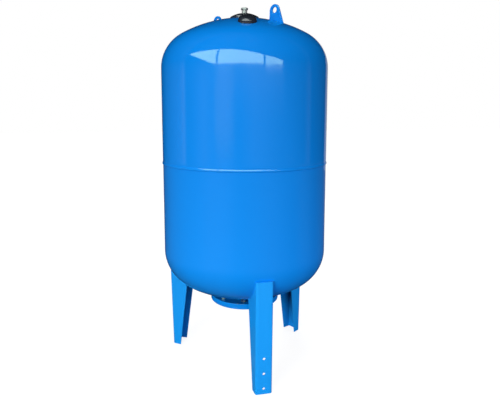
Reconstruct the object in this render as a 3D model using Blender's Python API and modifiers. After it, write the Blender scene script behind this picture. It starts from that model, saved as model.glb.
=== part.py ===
"""Free-standing expansion vessel: two drawn half shells on three channel legs, with a replaceable bladder.

Metres, +Z up. The feet stand on z = 0, the vessel's axis is the Z axis, and the front leg points along -Y.
Azimuths are counted from -Y towards +X.
"""

import math

import bmesh
import bpy
from mathutils import Matrix, Vector

# Clearance that touching pieces keep
FIT_GAP = 0.0003

# Pressure shell: two torispherical halves that lap at the girth seam
VESSEL_RADIUS = 0.3185
SHELL_WALL = 0.0025
CROWN_RADIUS = 0.5025
KNUCKLE_RADIUS = 0.143
UPPER_STRAIGHT = 0.351
LOWER_STRAIGHT = 0.34725
SHELL_BASE_HEIGHT = 0.261
SEAM_STEP = 0.0008
SEAM_LAP = 0.018
JOGGLE_LENGTH = 0.006
BEAD_HEIGHT = 0.0095
BEAD_PROUD = 0.0016

# Channel legs, folded from sheet
LEG_COUNT = 3
LEG_WEB_WIDTH = 0.060
LEG_SHEET = 0.004
LEG_BEND_RADIUS = 0.008
LEG_FOOT_INSET = 0.009
LEG_LEAN = math.radians(1.66)
LEG_FOOT_DEPTH = 0.0345
LEG_FLANGE_FLARE = math.radians(7.4)
LEG_FLANGE_SPLAY = math.radians(5.5)
LEG_TOP_DROP = 0.039
LEG_HOLE_DIAMETER = 0.010
LEG_HOLE_FIRST = 0.020
LEG_HOLE_PITCH = 0.056
LEG_HOLE_COUNT = 3

# Lifting lugs on the upper head
LUG_AZIMUTH = math.radians(32.8)
LUG_POSITION = 0.153
LUG_PLATE = 0.006
LUG_INNER_BASE = 0.0235
LUG_OUTER_BASE = 0.0355
LUG_TOP_RADIUS = 0.0222
LUG_HEIGHT = 0.0572
LUG_HOLE_DIAMETER = 0.021
LUG_HOLE_ABOVE_ARC = 0.0021
LUG_ROOT = 0.012

# Bottom flange pair, bolts and water socket
NECK_RADIUS = 0.095
NECK_WALL = 0.010
NECK_INNER_STAND = 0.005
FLANGE_TOP_DROP = 0.0035
VESSEL_FLANGE_THICKNESS = 0.0147
COUNTER_FLANGE_THICKNESS = 0.006
FLANGE_EDGE = 0.0246
FLANGE_CHAMFER = 0.0012
BOLT_INSET = 0.016
BOLT_COUNT = 8
BOLT_PHASE = math.radians(-15.0)
BOLT_DIAMETER = 0.010
BOLT_HOLE_CLEARANCE = 0.0005
BOLT_HEAD_HEIGHT = 0.0064
BOLT_END = 0.003
NUT_ACROSS_FLATS = 0.017
NUT_HEIGHT = 0.0084
SOCKET_RADIUS = 0.026
SOCKET_BORE_RADIUS = 0.0195
SOCKET_LENGTH = 0.036
SOCKET_INNER_STAND = 0.005
SOCKET_CHAMFER = 0.002

# Rubber bladder
BLADDER_WALL = 0.002
BLADDER_LIP_OVERHANG = 0.005
BLADDER_SIDE_CLEARANCE = 0.085
BLADDER_NECK_STAND = 0.012
BLADDER_LOWER_LENGTH = 0.300
BLADDER_COLLAR_RADIUS = 0.036

# Bladder hanger, its boss and the cover over its nut
TOP_BOSS_RADIUS = 0.020
TOP_BOSS_STAND = 0.005
TOP_BOSS_DEPTH = 0.0075
HANGER_STEM_RADIUS = 0.01045
HANGER_STEM_WALL = 0.0024
HANGER_HEAD_RADIUS = 0.030
HANGER_HEAD_THICKNESS = 0.005
HANGER_STEM_SHOW = 0.012
HANGER_WASHER_RADIUS = 0.021
HANGER_WASHER_THICKNESS = 0.0025
HANGER_NUT_FLATS = 0.032
HANGER_NUT_HEIGHT = 0.009
COVER_RADIUS = 0.055
COVER_WALL = 0.0025
COVER_SKIRT = 0.0095
COVER_HUB_WALL = 0.003
COVER_HUB_LENGTH = 0.0025
PLUG_FLATS = 0.024
PLUG_HEAD_HEIGHT = 0.008
PLUG_SPIGOT_LENGTH = 0.010

# Air valve on the upper head, square to its surface
VALVE_AZIMUTH = math.radians(-9.8)
VALVE_INSET = 0.1145
VALVE_BOSS_RADIUS = 0.013
VALVE_BOSS_STAND = 0.0025
VALVE_BOSS_DEPTH = 0.008
VALVE_SPIGOT_RADIUS = 0.00487
VALVE_SPIGOT_LENGTH = 0.010
VALVE_HEX_FLATS = 0.014
VALVE_HEX_HEIGHT = 0.003
VALVE_STEM_RADIUS = 0.00385
VALVE_STEM_HEIGHT = 0.0038
VALVE_STEM_WALL = 0.00115
CORE_WALL = 0.00065
CORE_LENGTH = 0.0102
CORE_RECESS = 0.0008
CORE_SHOULDER_LENGTH = 0.0025
PIN_RADIUS = 0.00075
PIN_TIP_RECESS = 0.0003
PIN_COLLAR_RADIUS = 0.0014
PIN_COLLAR_HEIGHT = 0.0008
PIN_COLLAR_DROP = 0.0018
PIN_SEAL_RADIUS = 0.0021
PIN_SEAL_HEIGHT = 0.0015
SPRING_WIRE_RADIUS = 0.0002
SPRING_TURNS = 5
DUST_CAP_WALL = 0.00125
DUST_CAP_ROOF = 0.001
DUST_CAP_LIFT = 0.0038

# Black cap over the air valve
CAP_RADIUS = 0.0335
CAP_SHOULDER_RADIUS = 0.030
CAP_WALL = 0.0022
CAP_EDGE_RADIUS = 0.010
CAP_CROWN_RISE = 0.003
CAP_SLEEVE_WALL = 0.0022
CAP_SLEEVE_STAND = 0.0008

# Facets
SHELL_STEPS = 54
KNUCKLE_SEGMENTS = 6
CROWN_SEGMENTS = 5
INNER_SEGMENTS = 3
FLANGE_STEPS = 36
ROUND_STEPS = 24
BLADDER_STEPS = FLANGE_STEPS // 2
SMALL_STEPS = 16
HOLE_STEPS = 12
HEX_SIDES = 6
BEND_SEGMENTS = 3
ARC_SEGMENTS = 6
BEAD_SEGMENTS = 4
COVER_SEGMENTS = 5
SPRING_POINTS = 8
MERGE_DISTANCE = 1e-5
DOUBLE_DISTANCE = 1e-6
SHARP_ANGLE = math.radians(32.0)
BOX_MARGIN = 0.05


def head_depth():
    """Depth of a torispherical head from its tangent line to its pole."""
    centre_run = VESSEL_RADIUS - KNUCKLE_RADIUS
    return CROWN_RADIUS - math.sqrt((CROWN_RADIUS - KNUCKLE_RADIUS) ** 2 - centre_run**2)


# Levels that follow from the sizes above
LOWER_TANGENT = SHELL_BASE_HEIGHT + head_depth()
SEAM_HEIGHT = LOWER_TANGENT + LOWER_STRAIGHT
UPPER_TANGENT = SEAM_HEIGHT + UPPER_STRAIGHT
APEX = UPPER_TANGENT + head_depth()
FLANGE_TOP = SHELL_BASE_HEIGHT - FLANGE_TOP_DROP
FLANGE_JOINT = FLANGE_TOP - VESSEL_FLANGE_THICKNESS
COUNTER_TOP = FLANGE_JOINT - FIT_GAP
COUNTER_BOTTOM = COUNTER_TOP - COUNTER_FLANGE_THICKNESS
LEG_TOP = LOWER_TANGENT - LEG_TOP_DROP

# Radii that follow from the sizes above
LEG_FOOT_RADIUS = VESSEL_RADIUS - LEG_FOOT_INSET
VALVE_POSITION = VESSEL_RADIUS - VALVE_INSET
BOLT_CIRCLE = NECK_RADIUS + BOLT_INSET
FLANGE_RADIUS = BOLT_CIRCLE + FLANGE_EDGE
LIP_RADIUS = NECK_RADIUS + BLADDER_LIP_OVERHANG
HANGER_BORE = HANGER_STEM_RADIUS - HANGER_STEM_WALL

# Stack of the top fitting, from the boss up
BOSS_TOP = APEX + TOP_BOSS_STAND
BOSS_BOTTOM = APEX - TOP_BOSS_DEPTH
WASHER_BOTTOM = BOSS_TOP + FIT_GAP
HANGER_NUT_BOTTOM = WASHER_BOTTOM + HANGER_WASHER_THICKNESS + FIT_GAP
HANGER_NUT_TOP = HANGER_NUT_BOTTOM + HANGER_NUT_HEIGHT
COVER_ROOF = HANGER_NUT_TOP + FIT_GAP + COVER_HUB_LENGTH
COVER_TOP = COVER_ROOF + COVER_WALL
STEM_TOP = COVER_TOP + HANGER_STEM_SHOW
COLLAR_TOP = BOSS_BOTTOM - FIT_GAP
HANGER_HEAD_TOP = COLLAR_TOP - BLADDER_WALL - FIT_GAP

# Stack of the air valve, in heights above the head's surface
VALVE_HEX_BOTTOM = VALVE_BOSS_STAND + FIT_GAP
VALVE_HEX_TOP = VALVE_HEX_BOTTOM + VALVE_HEX_HEIGHT
VALVE_STEM_TOP = VALVE_HEX_TOP + VALVE_STEM_HEIGHT
VALVE_BORE = VALVE_STEM_RADIUS - VALVE_STEM_WALL
CORE_TOP = VALVE_STEM_TOP - CORE_RECESS
CORE_BOTTOM = CORE_TOP - CORE_LENGTH
CORE_RADIUS = VALVE_BORE - FIT_GAP
CORE_CHAMBER = CORE_RADIUS - CORE_WALL
PIN_COLLAR_BOTTOM = CORE_TOP - PIN_COLLAR_DROP
DUST_CAP_BOTTOM = VALVE_HEX_TOP + FIT_GAP
DUST_CAP_TOP = VALVE_STEM_TOP + FIT_GAP + DUST_CAP_ROOF
CAP_ROOF = DUST_CAP_TOP + DUST_CAP_LIFT + FIT_GAP


def shell_profile(offset, first_radius, knuckle_segments, crown_segments):
    """Points (radius, height above the tangent line) of a head, from its opening out to the tangent line."""
    crown = CROWN_RADIUS + offset
    knuckle = KNUCKLE_RADIUS + offset
    centre_run = VESSEL_RADIUS - KNUCKLE_RADIUS
    crown_centre = head_depth() - CROWN_RADIUS
    start = math.asin(first_radius / crown)
    join = math.asin(centre_run / (CROWN_RADIUS - KNUCKLE_RADIUS))
    points = []
    for i in range(crown_segments):
        angle = start + (join - start) * i / crown_segments
        points.append((crown * math.sin(angle), crown_centre + crown * math.cos(angle)))
    for i in range(knuckle_segments + 1):
        angle = join + (math.pi / 2 - join) * i / knuckle_segments
        points.append((centre_run + knuckle * math.sin(angle), knuckle * math.cos(angle)))
    return points


def crown_height(radius):
    """Height of the upper head's crown surface at a radius."""
    return APEX - CROWN_RADIUS + math.sqrt(CROWN_RADIUS**2 - radius**2)


def radial(azimuth):
    """Unit vector pointing away from the vessel's axis at an azimuth."""
    return Vector((math.sin(azimuth), -math.cos(azimuth), 0.0))


def turn(azimuth):
    """Rotation about the vessel's axis that takes the front, -Y, to an azimuth."""
    return Matrix.Rotation(azimuth, 4, "Z")


def valve_frame():
    """Frame of the air valve: origin on the head's surface, Z along its normal."""
    slope = math.asin(VALVE_POSITION / CROWN_RADIUS)
    outward = radial(VALVE_AZIMUTH)
    origin = outward * VALVE_POSITION + Vector((0.0, 0.0, crown_height(VALVE_POSITION)))
    return Matrix.Translation(origin) @ turn(VALVE_AZIMUTH) @ Matrix.Rotation(slope, 4, "X")


def clear_scene():
    for old in list(bpy.data.objects):
        bpy.data.objects.remove(old, do_unlink=True)


def new_collection(name):
    made = bpy.data.collections.new(name)
    bpy.context.scene.collection.children.link(made)
    return made


def new_finish(name, colour, roughness, metallic):
    """A Principled material."""
    material = bpy.data.materials.new(name)
    material.use_nodes = True
    shader = material.node_tree.nodes["Principled BSDF"]
    shader.inputs["Base Color"].default_value = (*colour, 1.0)
    shader.inputs["Roughness"].default_value = roughness
    shader.inputs["Metallic"].default_value = metallic
    return material


clear_scene()
PARTS = new_collection("expansion_vessel")
CUTTERS = new_collection("cutters")
BLUE_PAINT = new_finish("blue_powder_coat", (0.007, 0.235, 0.815), 0.22, 0.0)
BLACK_PLASTIC = new_finish("black_gloss_plastic", (0.012, 0.012, 0.013), 0.25, 0.0)
ZINC = new_finish("zinc_plated_steel", (0.62, 0.64, 0.66), 0.3, 1.0)
BRASS = new_finish("valve_brass", (0.72, 0.52, 0.24), 0.3, 1.0)
RUBBER = new_finish("bladder_rubber", (0.02, 0.02, 0.02), 0.75, 0.0)


def place(name, mesh, finish, matrix):
    """An object for a mesh: a part if it has a finish, and otherwise a cutter that isn't rendered."""
    made = bpy.data.objects.new(name, mesh)
    made.matrix_world = matrix
    if finish is None:
        CUTTERS.objects.link(made)
        made.hide_render = True
        made.display_type = "WIRE"
    else:
        PARTS.objects.link(made)
        if not mesh.materials:
            mesh.materials.append(finish)
    return made


def turned(name, points, steps, finish, matrix=Matrix()):
    """A profile of (radius, height) points turned about Z, closed by itself or by the axis."""
    ring = points[1:] + points[:1]
    area = sum(a[0] * b[1] - b[0] * a[1] for a, b in zip(points, ring))
    ordered = points[::-1] if area > 0 else points
    count = len(ordered)
    edges = [(i, i + 1) for i in range(count - 1)]
    if min(radius for radius, _ in points) > MERGE_DISTANCE:
        edges.append((count - 1, 0))
    mesh = bpy.data.meshes.new(name)
    mesh.from_pydata([(radius, 0.0, height) for radius, height in ordered], edges, [])
    made = place(name, mesh, finish, matrix)
    add_screw(made, steps)
    return made


def add_screw(made, steps):
    screw = made.modifiers.new("turn", "SCREW")
    screw.axis = "Z"
    screw.angle = math.tau
    screw.steps = steps
    screw.render_steps = steps
    screw.use_merge_vertices = True
    screw.merge_threshold = MERGE_DISTANCE
    screw.use_smooth_shade = True


def prism(name, radius, bottom, top, sides, finish, matrix=Matrix()):
    """An upright prism or cylinder between two heights."""
    mesh = bpy.data.meshes.new(name)
    form = bmesh.new()
    bmesh.ops.create_cone(
        form, cap_ends=True, segments=sides, radius1=radius, radius2=radius, depth=top - bottom,
        matrix=Matrix.Translation((0.0, 0.0, (top + bottom) / 2)),
    )
    form.to_mesh(mesh)
    form.free()
    return place(name, mesh, finish, matrix)


def hexagon(name, flats, bottom, top, finish, matrix=Matrix()):
    """A hexagonal prism, given the distance across its flats."""
    return prism(name, flats / 2 / math.cos(math.pi / HEX_SIDES), bottom, top, HEX_SIDES, finish, matrix)


def box(name, low, high, finish=None):
    mesh = bpy.data.meshes.new(name)
    form = bmesh.new()
    size = Vector(high) - Vector(low)
    centre = (Vector(high) + Vector(low)) / 2
    bmesh.ops.create_cube(form, size=1.0, matrix=Matrix.Translation(centre) @ Matrix.Diagonal((*size, 1.0)))
    form.to_mesh(mesh)
    form.free()
    return place(name, mesh, finish, Matrix())


def combine(made, other, operation):
    """Joins, cuts or trims a piece with another object."""
    boolean = made.modifiers.new(operation.lower() + "_" + other.name, "BOOLEAN")
    boolean.operation = operation
    boolean.object = other
    boolean.solver = "EXACT"


def hole_set(name, radius, bottom, top, matrices):
    """One cutter that holds a cylinder at each of several places."""
    mesh = bpy.data.meshes.new(name)
    form = bmesh.new()
    for matrix in matrices:
        bmesh.ops.create_cone(
            form, cap_ends=True, segments=HOLE_STEPS, radius1=radius, radius2=radius, depth=top - bottom,
            matrix=matrix @ Matrix.Translation((0.0, 0.0, (top + bottom) / 2)),
        )
    form.to_mesh(mesh)
    form.free()
    return place(name, mesh, None, Matrix())


def settle(made):
    """Turns a piece's modifiers into its own mesh, smooth except at sharp edges."""
    graph = bpy.context.evaluated_depsgraph_get()
    mesh = bpy.data.meshes.new_from_object(made.evaluated_get(graph))
    form = bmesh.new()
    form.from_mesh(mesh)
    bmesh.ops.remove_doubles(form, verts=form.verts, dist=DOUBLE_DISTANCE)
    form.to_mesh(mesh)
    form.free()
    mesh.name = made.name
    made.modifiers.clear()
    made.data = mesh
    mesh.shade_smooth()
    mesh.set_sharp_from_angle(angle=SHARP_ANGLE)


def repeat(first, names, matrices):
    """Further objects that share a settled piece's mesh."""
    settle(first)
    for name, matrix in zip(names, matrices):
        place(name, first.data, first.data.materials[0], matrix)


def head_cutter(name, tangent, direction, offset, hole):
    """The space that a half shell fills, with the fit gap round it."""
    points = shell_profile(offset + FIT_GAP, hole, KNUCKLE_SEGMENTS, CROWN_SEGMENTS)
    points.insert(0, (0.0, points[0][1]))
    profile = [(radius, tangent + direction * height) for radius, height in points]
    profile.append((points[-1][0], SEAM_HEIGHT))
    profile.append((0.0, SEAM_HEIGHT))
    return turned(name, profile, SHELL_STEPS, None)


def make_upper_shell():
    """The upper half shell: hole for the top boss at its pole, hole for the valve boss beside it."""
    hole = TOP_BOSS_RADIUS + FIT_GAP
    outer = shell_profile(0.0, hole, KNUCKLE_SEGMENTS, CROWN_SEGMENTS)
    inner = shell_profile(-SHELL_WALL, hole, INNER_SEGMENTS, INNER_SEGMENTS)
    profile = [(radius, UPPER_TANGENT + height) for radius, height in outer]
    profile.append((VESSEL_RADIUS, SEAM_HEIGHT))
    profile.append((VESSEL_RADIUS - SHELL_WALL, SEAM_HEIGHT))
    profile += [(radius, UPPER_TANGENT + height) for radius, height in reversed(inner)]
    shell = turned("upper_shell", profile, SHELL_STEPS, BLUE_PAINT)
    reach = VALVE_BOSS_DEPTH + SHELL_WALL
    cutter = prism("valve_hole", VALVE_BOSS_RADIUS + FIT_GAP, -reach, reach, ROUND_STEPS, None, valve_frame())
    combine(shell, cutter, "DIFFERENCE")


def make_lower_shell():
    """The lower half shell: its rim is drawn in to slide inside the upper one, its pole is open."""
    shrink = -SEAM_STEP
    spigot = VESSEL_RADIUS - SHELL_WALL - FIT_GAP
    hole = NECK_RADIUS + FIT_GAP
    outer = shell_profile(shrink, hole, KNUCKLE_SEGMENTS, CROWN_SEGMENTS)
    inner = shell_profile(shrink - SHELL_WALL, hole, INNER_SEGMENTS, INNER_SEGMENTS)
    profile = [(radius, LOWER_TANGENT - height) for radius, height in inner]
    profile.append((VESSEL_RADIUS + shrink - SHELL_WALL, SEAM_HEIGHT - JOGGLE_LENGTH))
    profile.append((spigot - SHELL_WALL, SEAM_HEIGHT))
    profile.append((spigot - SHELL_WALL, SEAM_HEIGHT + SEAM_LAP))
    profile.append((spigot, SEAM_HEIGHT + SEAM_LAP))
    profile.append((spigot, SEAM_HEIGHT))
    profile.append((VESSEL_RADIUS + shrink, SEAM_HEIGHT - FIT_GAP))
    profile += [(radius, LOWER_TANGENT - height) for radius, height in reversed(outer)]
    turned("lower_shell", profile, SHELL_STEPS, BLUE_PAINT)


def make_girth_weld():
    """The bead that runs round under the upper shell's edge, on the lower shell."""
    inside = VESSEL_RADIUS - SEAM_STEP + FIT_GAP
    top = SEAM_HEIGHT - FIT_GAP
    profile = [(inside, top)]
    for i in range(BEAD_SEGMENTS + 1):
        angle = math.pi * i / BEAD_SEGMENTS
        bulge = SEAM_STEP + BEAD_PROUD
        height = top - BEAD_HEIGHT * (1 - math.cos(angle)) / 2
        profile.append((inside + FIT_GAP + bulge * math.sin(angle), height))
    profile.append((inside, top - BEAD_HEIGHT))
    turned("girth_weld", profile, SHELL_STEPS, BLUE_PAINT)


def leg_sheet(name):
    """The outer surface of a channel leg: flanges that open towards the vessel, rounded bends."""
    low = -BOX_MARGIN
    high = LEG_TOP + BOX_MARGIN
    half = LEG_WEB_WIDTH / 2
    mesh = bpy.data.meshes.new(name)
    form = bmesh.new()
    rows = []
    for z in (low, high):
        web = LEG_FOOT_RADIUS + z * math.tan(LEG_LEAN)
        edge = LEG_FOOT_RADIUS - LEG_FOOT_DEPTH - z * math.tan(LEG_FLANGE_FLARE)
        wide = half + (web - edge) * math.tan(LEG_FLANGE_SPLAY)
        rows.append([form.verts.new(point) for point in
                     ((-wide, -edge, z), (-half, -web, z), (half, -web, z), (wide, -edge, z))])
    for i in range(len(rows[0]) - 1):
        form.faces.new((rows[0][i], rows[0][i + 1], rows[1][i + 1], rows[1][i]))
    corners = [edge for edge in form.edges if len(edge.link_faces) == 2]
    bmesh.ops.bevel(
        form, geom=corners, offset=LEG_BEND_RADIUS, segments=BEND_SEGMENTS, affect="EDGES", profile=0.5,
    )
    form.to_mesh(mesh)
    form.free()
    return mesh


def make_legs():
    """Three channel legs, cut flat at the foot and to the lower head's curve at the top."""
    names = ["leg_front", "leg_right", "leg_left"]
    azimuths = [math.tau * i / LEG_COUNT for i in range(LEG_COUNT)]
    leg = place(names[0], leg_sheet(names[0]), BLUE_PAINT, Matrix())
    wall = leg.modifiers.new("sheet", "SOLIDIFY")
    wall.thickness = LEG_SHEET
    wall.offset = -1.0
    wall.use_even_offset = True
    reach = VESSEL_RADIUS + BOX_MARGIN
    combine(leg, box("leg_trim", (-reach, -reach, 0.0), (reach, 0.0, LEG_TOP)), "INTERSECT")
    space = head_cutter("lower_head_space", LOWER_TANGENT, -1.0, -SEAM_STEP, NECK_RADIUS + FIT_GAP)
    combine(leg, space, "DIFFERENCE")
    outward = Matrix.Rotation(math.pi / 2, 4, "X")
    heights = [LEG_HOLE_FIRST + i * LEG_HOLE_PITCH for i in range(LEG_HOLE_COUNT)]
    near = LEG_FOOT_RADIUS - LEG_FOOT_DEPTH
    matrices = [Matrix.Translation((0.0, 0.0, height)) @ outward for height in heights]
    combine(leg, hole_set("leg_holes", LEG_HOLE_DIAMETER / 2, near, reach, matrices), "DIFFERENCE")
    repeat(leg, names[1:], [turn(azimuth) for azimuth in azimuths[1:]])


def lug_side_lean(base_width, arc_height):
    """Lean of a lug's side, from its base point to the top arc that it touches."""
    reach = math.hypot(base_width, arc_height)
    return math.acos(LUG_TOP_RADIUS / reach) - math.atan2(arc_height, base_width)


def make_lugs():
    """Two flat lifting lugs in the radial plane, rounded at the top and cut to the upper head's curve."""
    base = crown_height(LUG_POSITION)
    arc_height = LUG_HEIGHT - LUG_TOP_RADIUS
    root = crown_height(LUG_POSITION + LUG_OUTER_BASE) - base - LUG_ROOT
    inner_lean = lug_side_lean(LUG_INNER_BASE, arc_height)
    outer_lean = lug_side_lean(LUG_OUTER_BASE, arc_height)
    points = [(root * math.tan(inner_lean) - LUG_INNER_BASE, root)]
    points.append((LUG_OUTER_BASE - root * math.tan(outer_lean), root))
    arc_steps = 2 * ARC_SEGMENTS
    for i in range(arc_steps + 1):
        angle = outer_lean + (math.pi - inner_lean - outer_lean) * i / arc_steps
        points.append((LUG_TOP_RADIUS * math.cos(angle), arc_height + LUG_TOP_RADIUS * math.sin(angle)))
    plate = outline_plate("lifting_lug_right", points, LUG_PLATE, turn(LUG_AZIMUTH), base)
    space = head_cutter("upper_head_space", UPPER_TANGENT, 1.0, 0.0, TOP_BOSS_RADIUS + FIT_GAP)
    combine(plate, space, "DIFFERENCE")
    across = turn(LUG_AZIMUTH) @ Matrix.Translation(
        (0.0, -LUG_POSITION, base + arc_height + LUG_HOLE_ABOVE_ARC)) @ Matrix.Rotation(math.pi / 2, 4, "Y")
    combine(plate, hole_set("lug_hole", LUG_HOLE_DIAMETER / 2, -LUG_PLATE, LUG_PLATE, [across]), "DIFFERENCE")
    repeat(plate, ["lifting_lug_left"], [turn(math.pi)])


def outline_plate(name, points, thickness, matrix, base):
    """A flat outline of (outward, height) points with a thickness, standing in a radial plane."""
    curve = bpy.data.curves.new(name, "CURVE")
    curve.dimensions = "2D"
    curve.fill_mode = "BOTH"
    curve.extrude = thickness / 2
    spline = curve.splines.new("POLY")
    spline.points.add(len(points) - 1)
    for point, (outward, height) in zip(spline.points, points):
        point.co = (outward, height, 0.0, 1.0)
    spline.use_cyclic_u = True
    guide = bpy.data.objects.new(name + "_outline", curve)
    CUTTERS.objects.link(guide)
    graph = bpy.context.evaluated_depsgraph_get()
    mesh = bpy.data.meshes.new_from_object(guide.evaluated_get(graph))
    bpy.data.objects.remove(guide, do_unlink=True)
    upright = Matrix(((0, 0, 1, 0), (-1, 0, 0, -LUG_POSITION), (0, 1, 0, base), (0, 0, 0, 1)))
    form = bmesh.new()
    form.from_mesh(mesh)
    bmesh.ops.remove_doubles(form, verts=form.verts, dist=MERGE_DISTANCE)
    bmesh.ops.transform(form, matrix=matrix @ upright, verts=form.verts)
    bmesh.ops.recalc_face_normals(form, faces=form.faces)
    form.to_mesh(mesh)
    form.free()
    return place(name, mesh, BLUE_PAINT, Matrix())


def bolt_places():
    azimuths = [BOLT_PHASE + math.tau * i / BOLT_COUNT for i in range(BOLT_COUNT)]
    return [turn(azimuth) @ Matrix.Translation((0.0, -BOLT_CIRCLE, 0.0)) for azimuth in azimuths]


def make_flanges():
    """The flange ring welded to the lower head's neck, and the counter flange bolted under it."""
    bore = NECK_RADIUS - NECK_WALL
    neck_top = LOWER_TANGENT - shell_profile(-SHELL_WALL, NECK_RADIUS, 1, 1)[0][1] + NECK_INNER_STAND
    recess = FLANGE_JOINT + BLADDER_WALL + FIT_GAP
    ring = turned("vessel_flange", [
        (bore, neck_top), (NECK_RADIUS, neck_top), (NECK_RADIUS, FLANGE_TOP),
        (FLANGE_RADIUS - FLANGE_CHAMFER, FLANGE_TOP), (FLANGE_RADIUS, FLANGE_TOP - FLANGE_CHAMFER),
        (FLANGE_RADIUS, FLANGE_JOINT), (LIP_RADIUS + FIT_GAP, FLANGE_JOINT), (LIP_RADIUS + FIT_GAP, recess),
        (bore, recess),
    ], FLANGE_STEPS, BLUE_PAINT)
    socket_hole = SOCKET_RADIUS + FIT_GAP
    plate = turned("counter_flange", [
        (socket_hole, COUNTER_TOP), (FLANGE_RADIUS, COUNTER_TOP),
        (FLANGE_RADIUS, COUNTER_BOTTOM + FLANGE_CHAMFER),
        (FLANGE_RADIUS - FLANGE_CHAMFER, COUNTER_BOTTOM), (socket_hole, COUNTER_BOTTOM),
    ], FLANGE_STEPS, BLUE_PAINT)
    hole = BOLT_DIAMETER / 2 + BOLT_HOLE_CLEARANCE
    cutter = hole_set("bolt_holes", hole, COUNTER_BOTTOM - BOLT_END, FLANGE_TOP + BOLT_END, bolt_places())
    combine(ring, cutter, "DIFFERENCE")
    combine(plate, cutter, "DIFFERENCE")


def make_bolts():
    """Hex bolts through both flanges from below, each with its nut above."""
    places = bolt_places()
    head_top = COUNTER_BOTTOM - FIT_GAP
    nut_bottom = FLANGE_TOP + FIT_GAP
    nut_top = nut_bottom + NUT_HEIGHT
    shank = BOLT_DIAMETER / 2
    bolt = hexagon("flange_bolt_1", NUT_ACROSS_FLATS, head_top - BOLT_HEAD_HEIGHT, head_top, ZINC, places[0])
    middle = head_top - BOLT_HEAD_HEIGHT / 2
    rod = prism("bolt_shank", shank, middle, nut_top + BOLT_END, HOLE_STEPS, None, places[0])
    combine(bolt, rod, "UNION")
    nut = hexagon("flange_nut_1", NUT_ACROSS_FLATS, nut_bottom, nut_top, ZINC, places[0])
    bore = prism("nut_bore", shank + FIT_GAP, FLANGE_TOP, nut_top + BOLT_END, HOLE_STEPS, None, places[0])
    combine(nut, bore, "DIFFERENCE")
    numbers = range(2, BOLT_COUNT + 1)
    repeat(bolt, [f"flange_bolt_{i}" for i in numbers], places[1:])
    repeat(nut, [f"flange_nut_{i}" for i in numbers], places[1:])


def make_socket():
    """The threaded water socket, welded into the counter flange."""
    top = COUNTER_TOP + SOCKET_INNER_STAND
    bottom = COUNTER_BOTTOM - SOCKET_LENGTH
    turned("water_socket", [
        (SOCKET_BORE_RADIUS, top), (SOCKET_RADIUS, top), (SOCKET_RADIUS, bottom + SOCKET_CHAMFER),
        (SOCKET_RADIUS - SOCKET_CHAMFER, bottom), (SOCKET_BORE_RADIUS, bottom),
    ], ROUND_STEPS, ZINC)


def make_bladder():
    """The rubber bag: lip between the flanges, neck through their bore, belly, and a collar at the hanger."""
    lip_top = COUNTER_TOP + FIT_GAP + BLADDER_WALL
    neck = NECK_RADIUS - NECK_WALL - FIT_GAP
    neck_top = SHELL_BASE_HEIGHT + SHELL_WALL + NECK_INNER_STAND + BLADDER_NECK_STAND
    belly = VESSEL_RADIUS - SHELL_WALL - BLADDER_SIDE_CLEARANCE
    shoulder = neck_top + BLADDER_LOWER_LENGTH
    profile = [(HANGER_STEM_RADIUS + FIT_GAP, COLLAR_TOP)]
    for i in range(ARC_SEGMENTS + 1):
        angle = math.pi / 2 * (1 - i / ARC_SEGMENTS)
        radius = BLADDER_COLLAR_RADIUS + (belly - BLADDER_COLLAR_RADIUS) * math.cos(angle)
        profile.append((radius, shoulder + (COLLAR_TOP - shoulder) * math.sin(angle)))
    for i in range(1, ARC_SEGMENTS + 1):
        share = i / ARC_SEGMENTS
        radius = belly + (neck - belly) * (1 - math.cos(math.pi * share)) / 2
        profile.append((radius, shoulder + (neck_top - shoulder) * share))
    profile.append((neck, lip_top))
    profile.append((LIP_RADIUS, lip_top))
    mesh = bpy.data.meshes.new("bladder")
    edges = [(i, i + 1) for i in range(len(profile) - 1)]
    mesh.from_pydata([(radius, 0.0, height) for radius, height in profile], edges, [])
    bag = place("bladder", mesh, RUBBER, Matrix())
    add_screw(bag, BLADDER_STEPS)
    wall = bag.modifiers.new("wall", "SOLIDIFY")
    wall.thickness = BLADDER_WALL
    wall.offset = -1.0
    wall.use_even_offset = True


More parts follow.
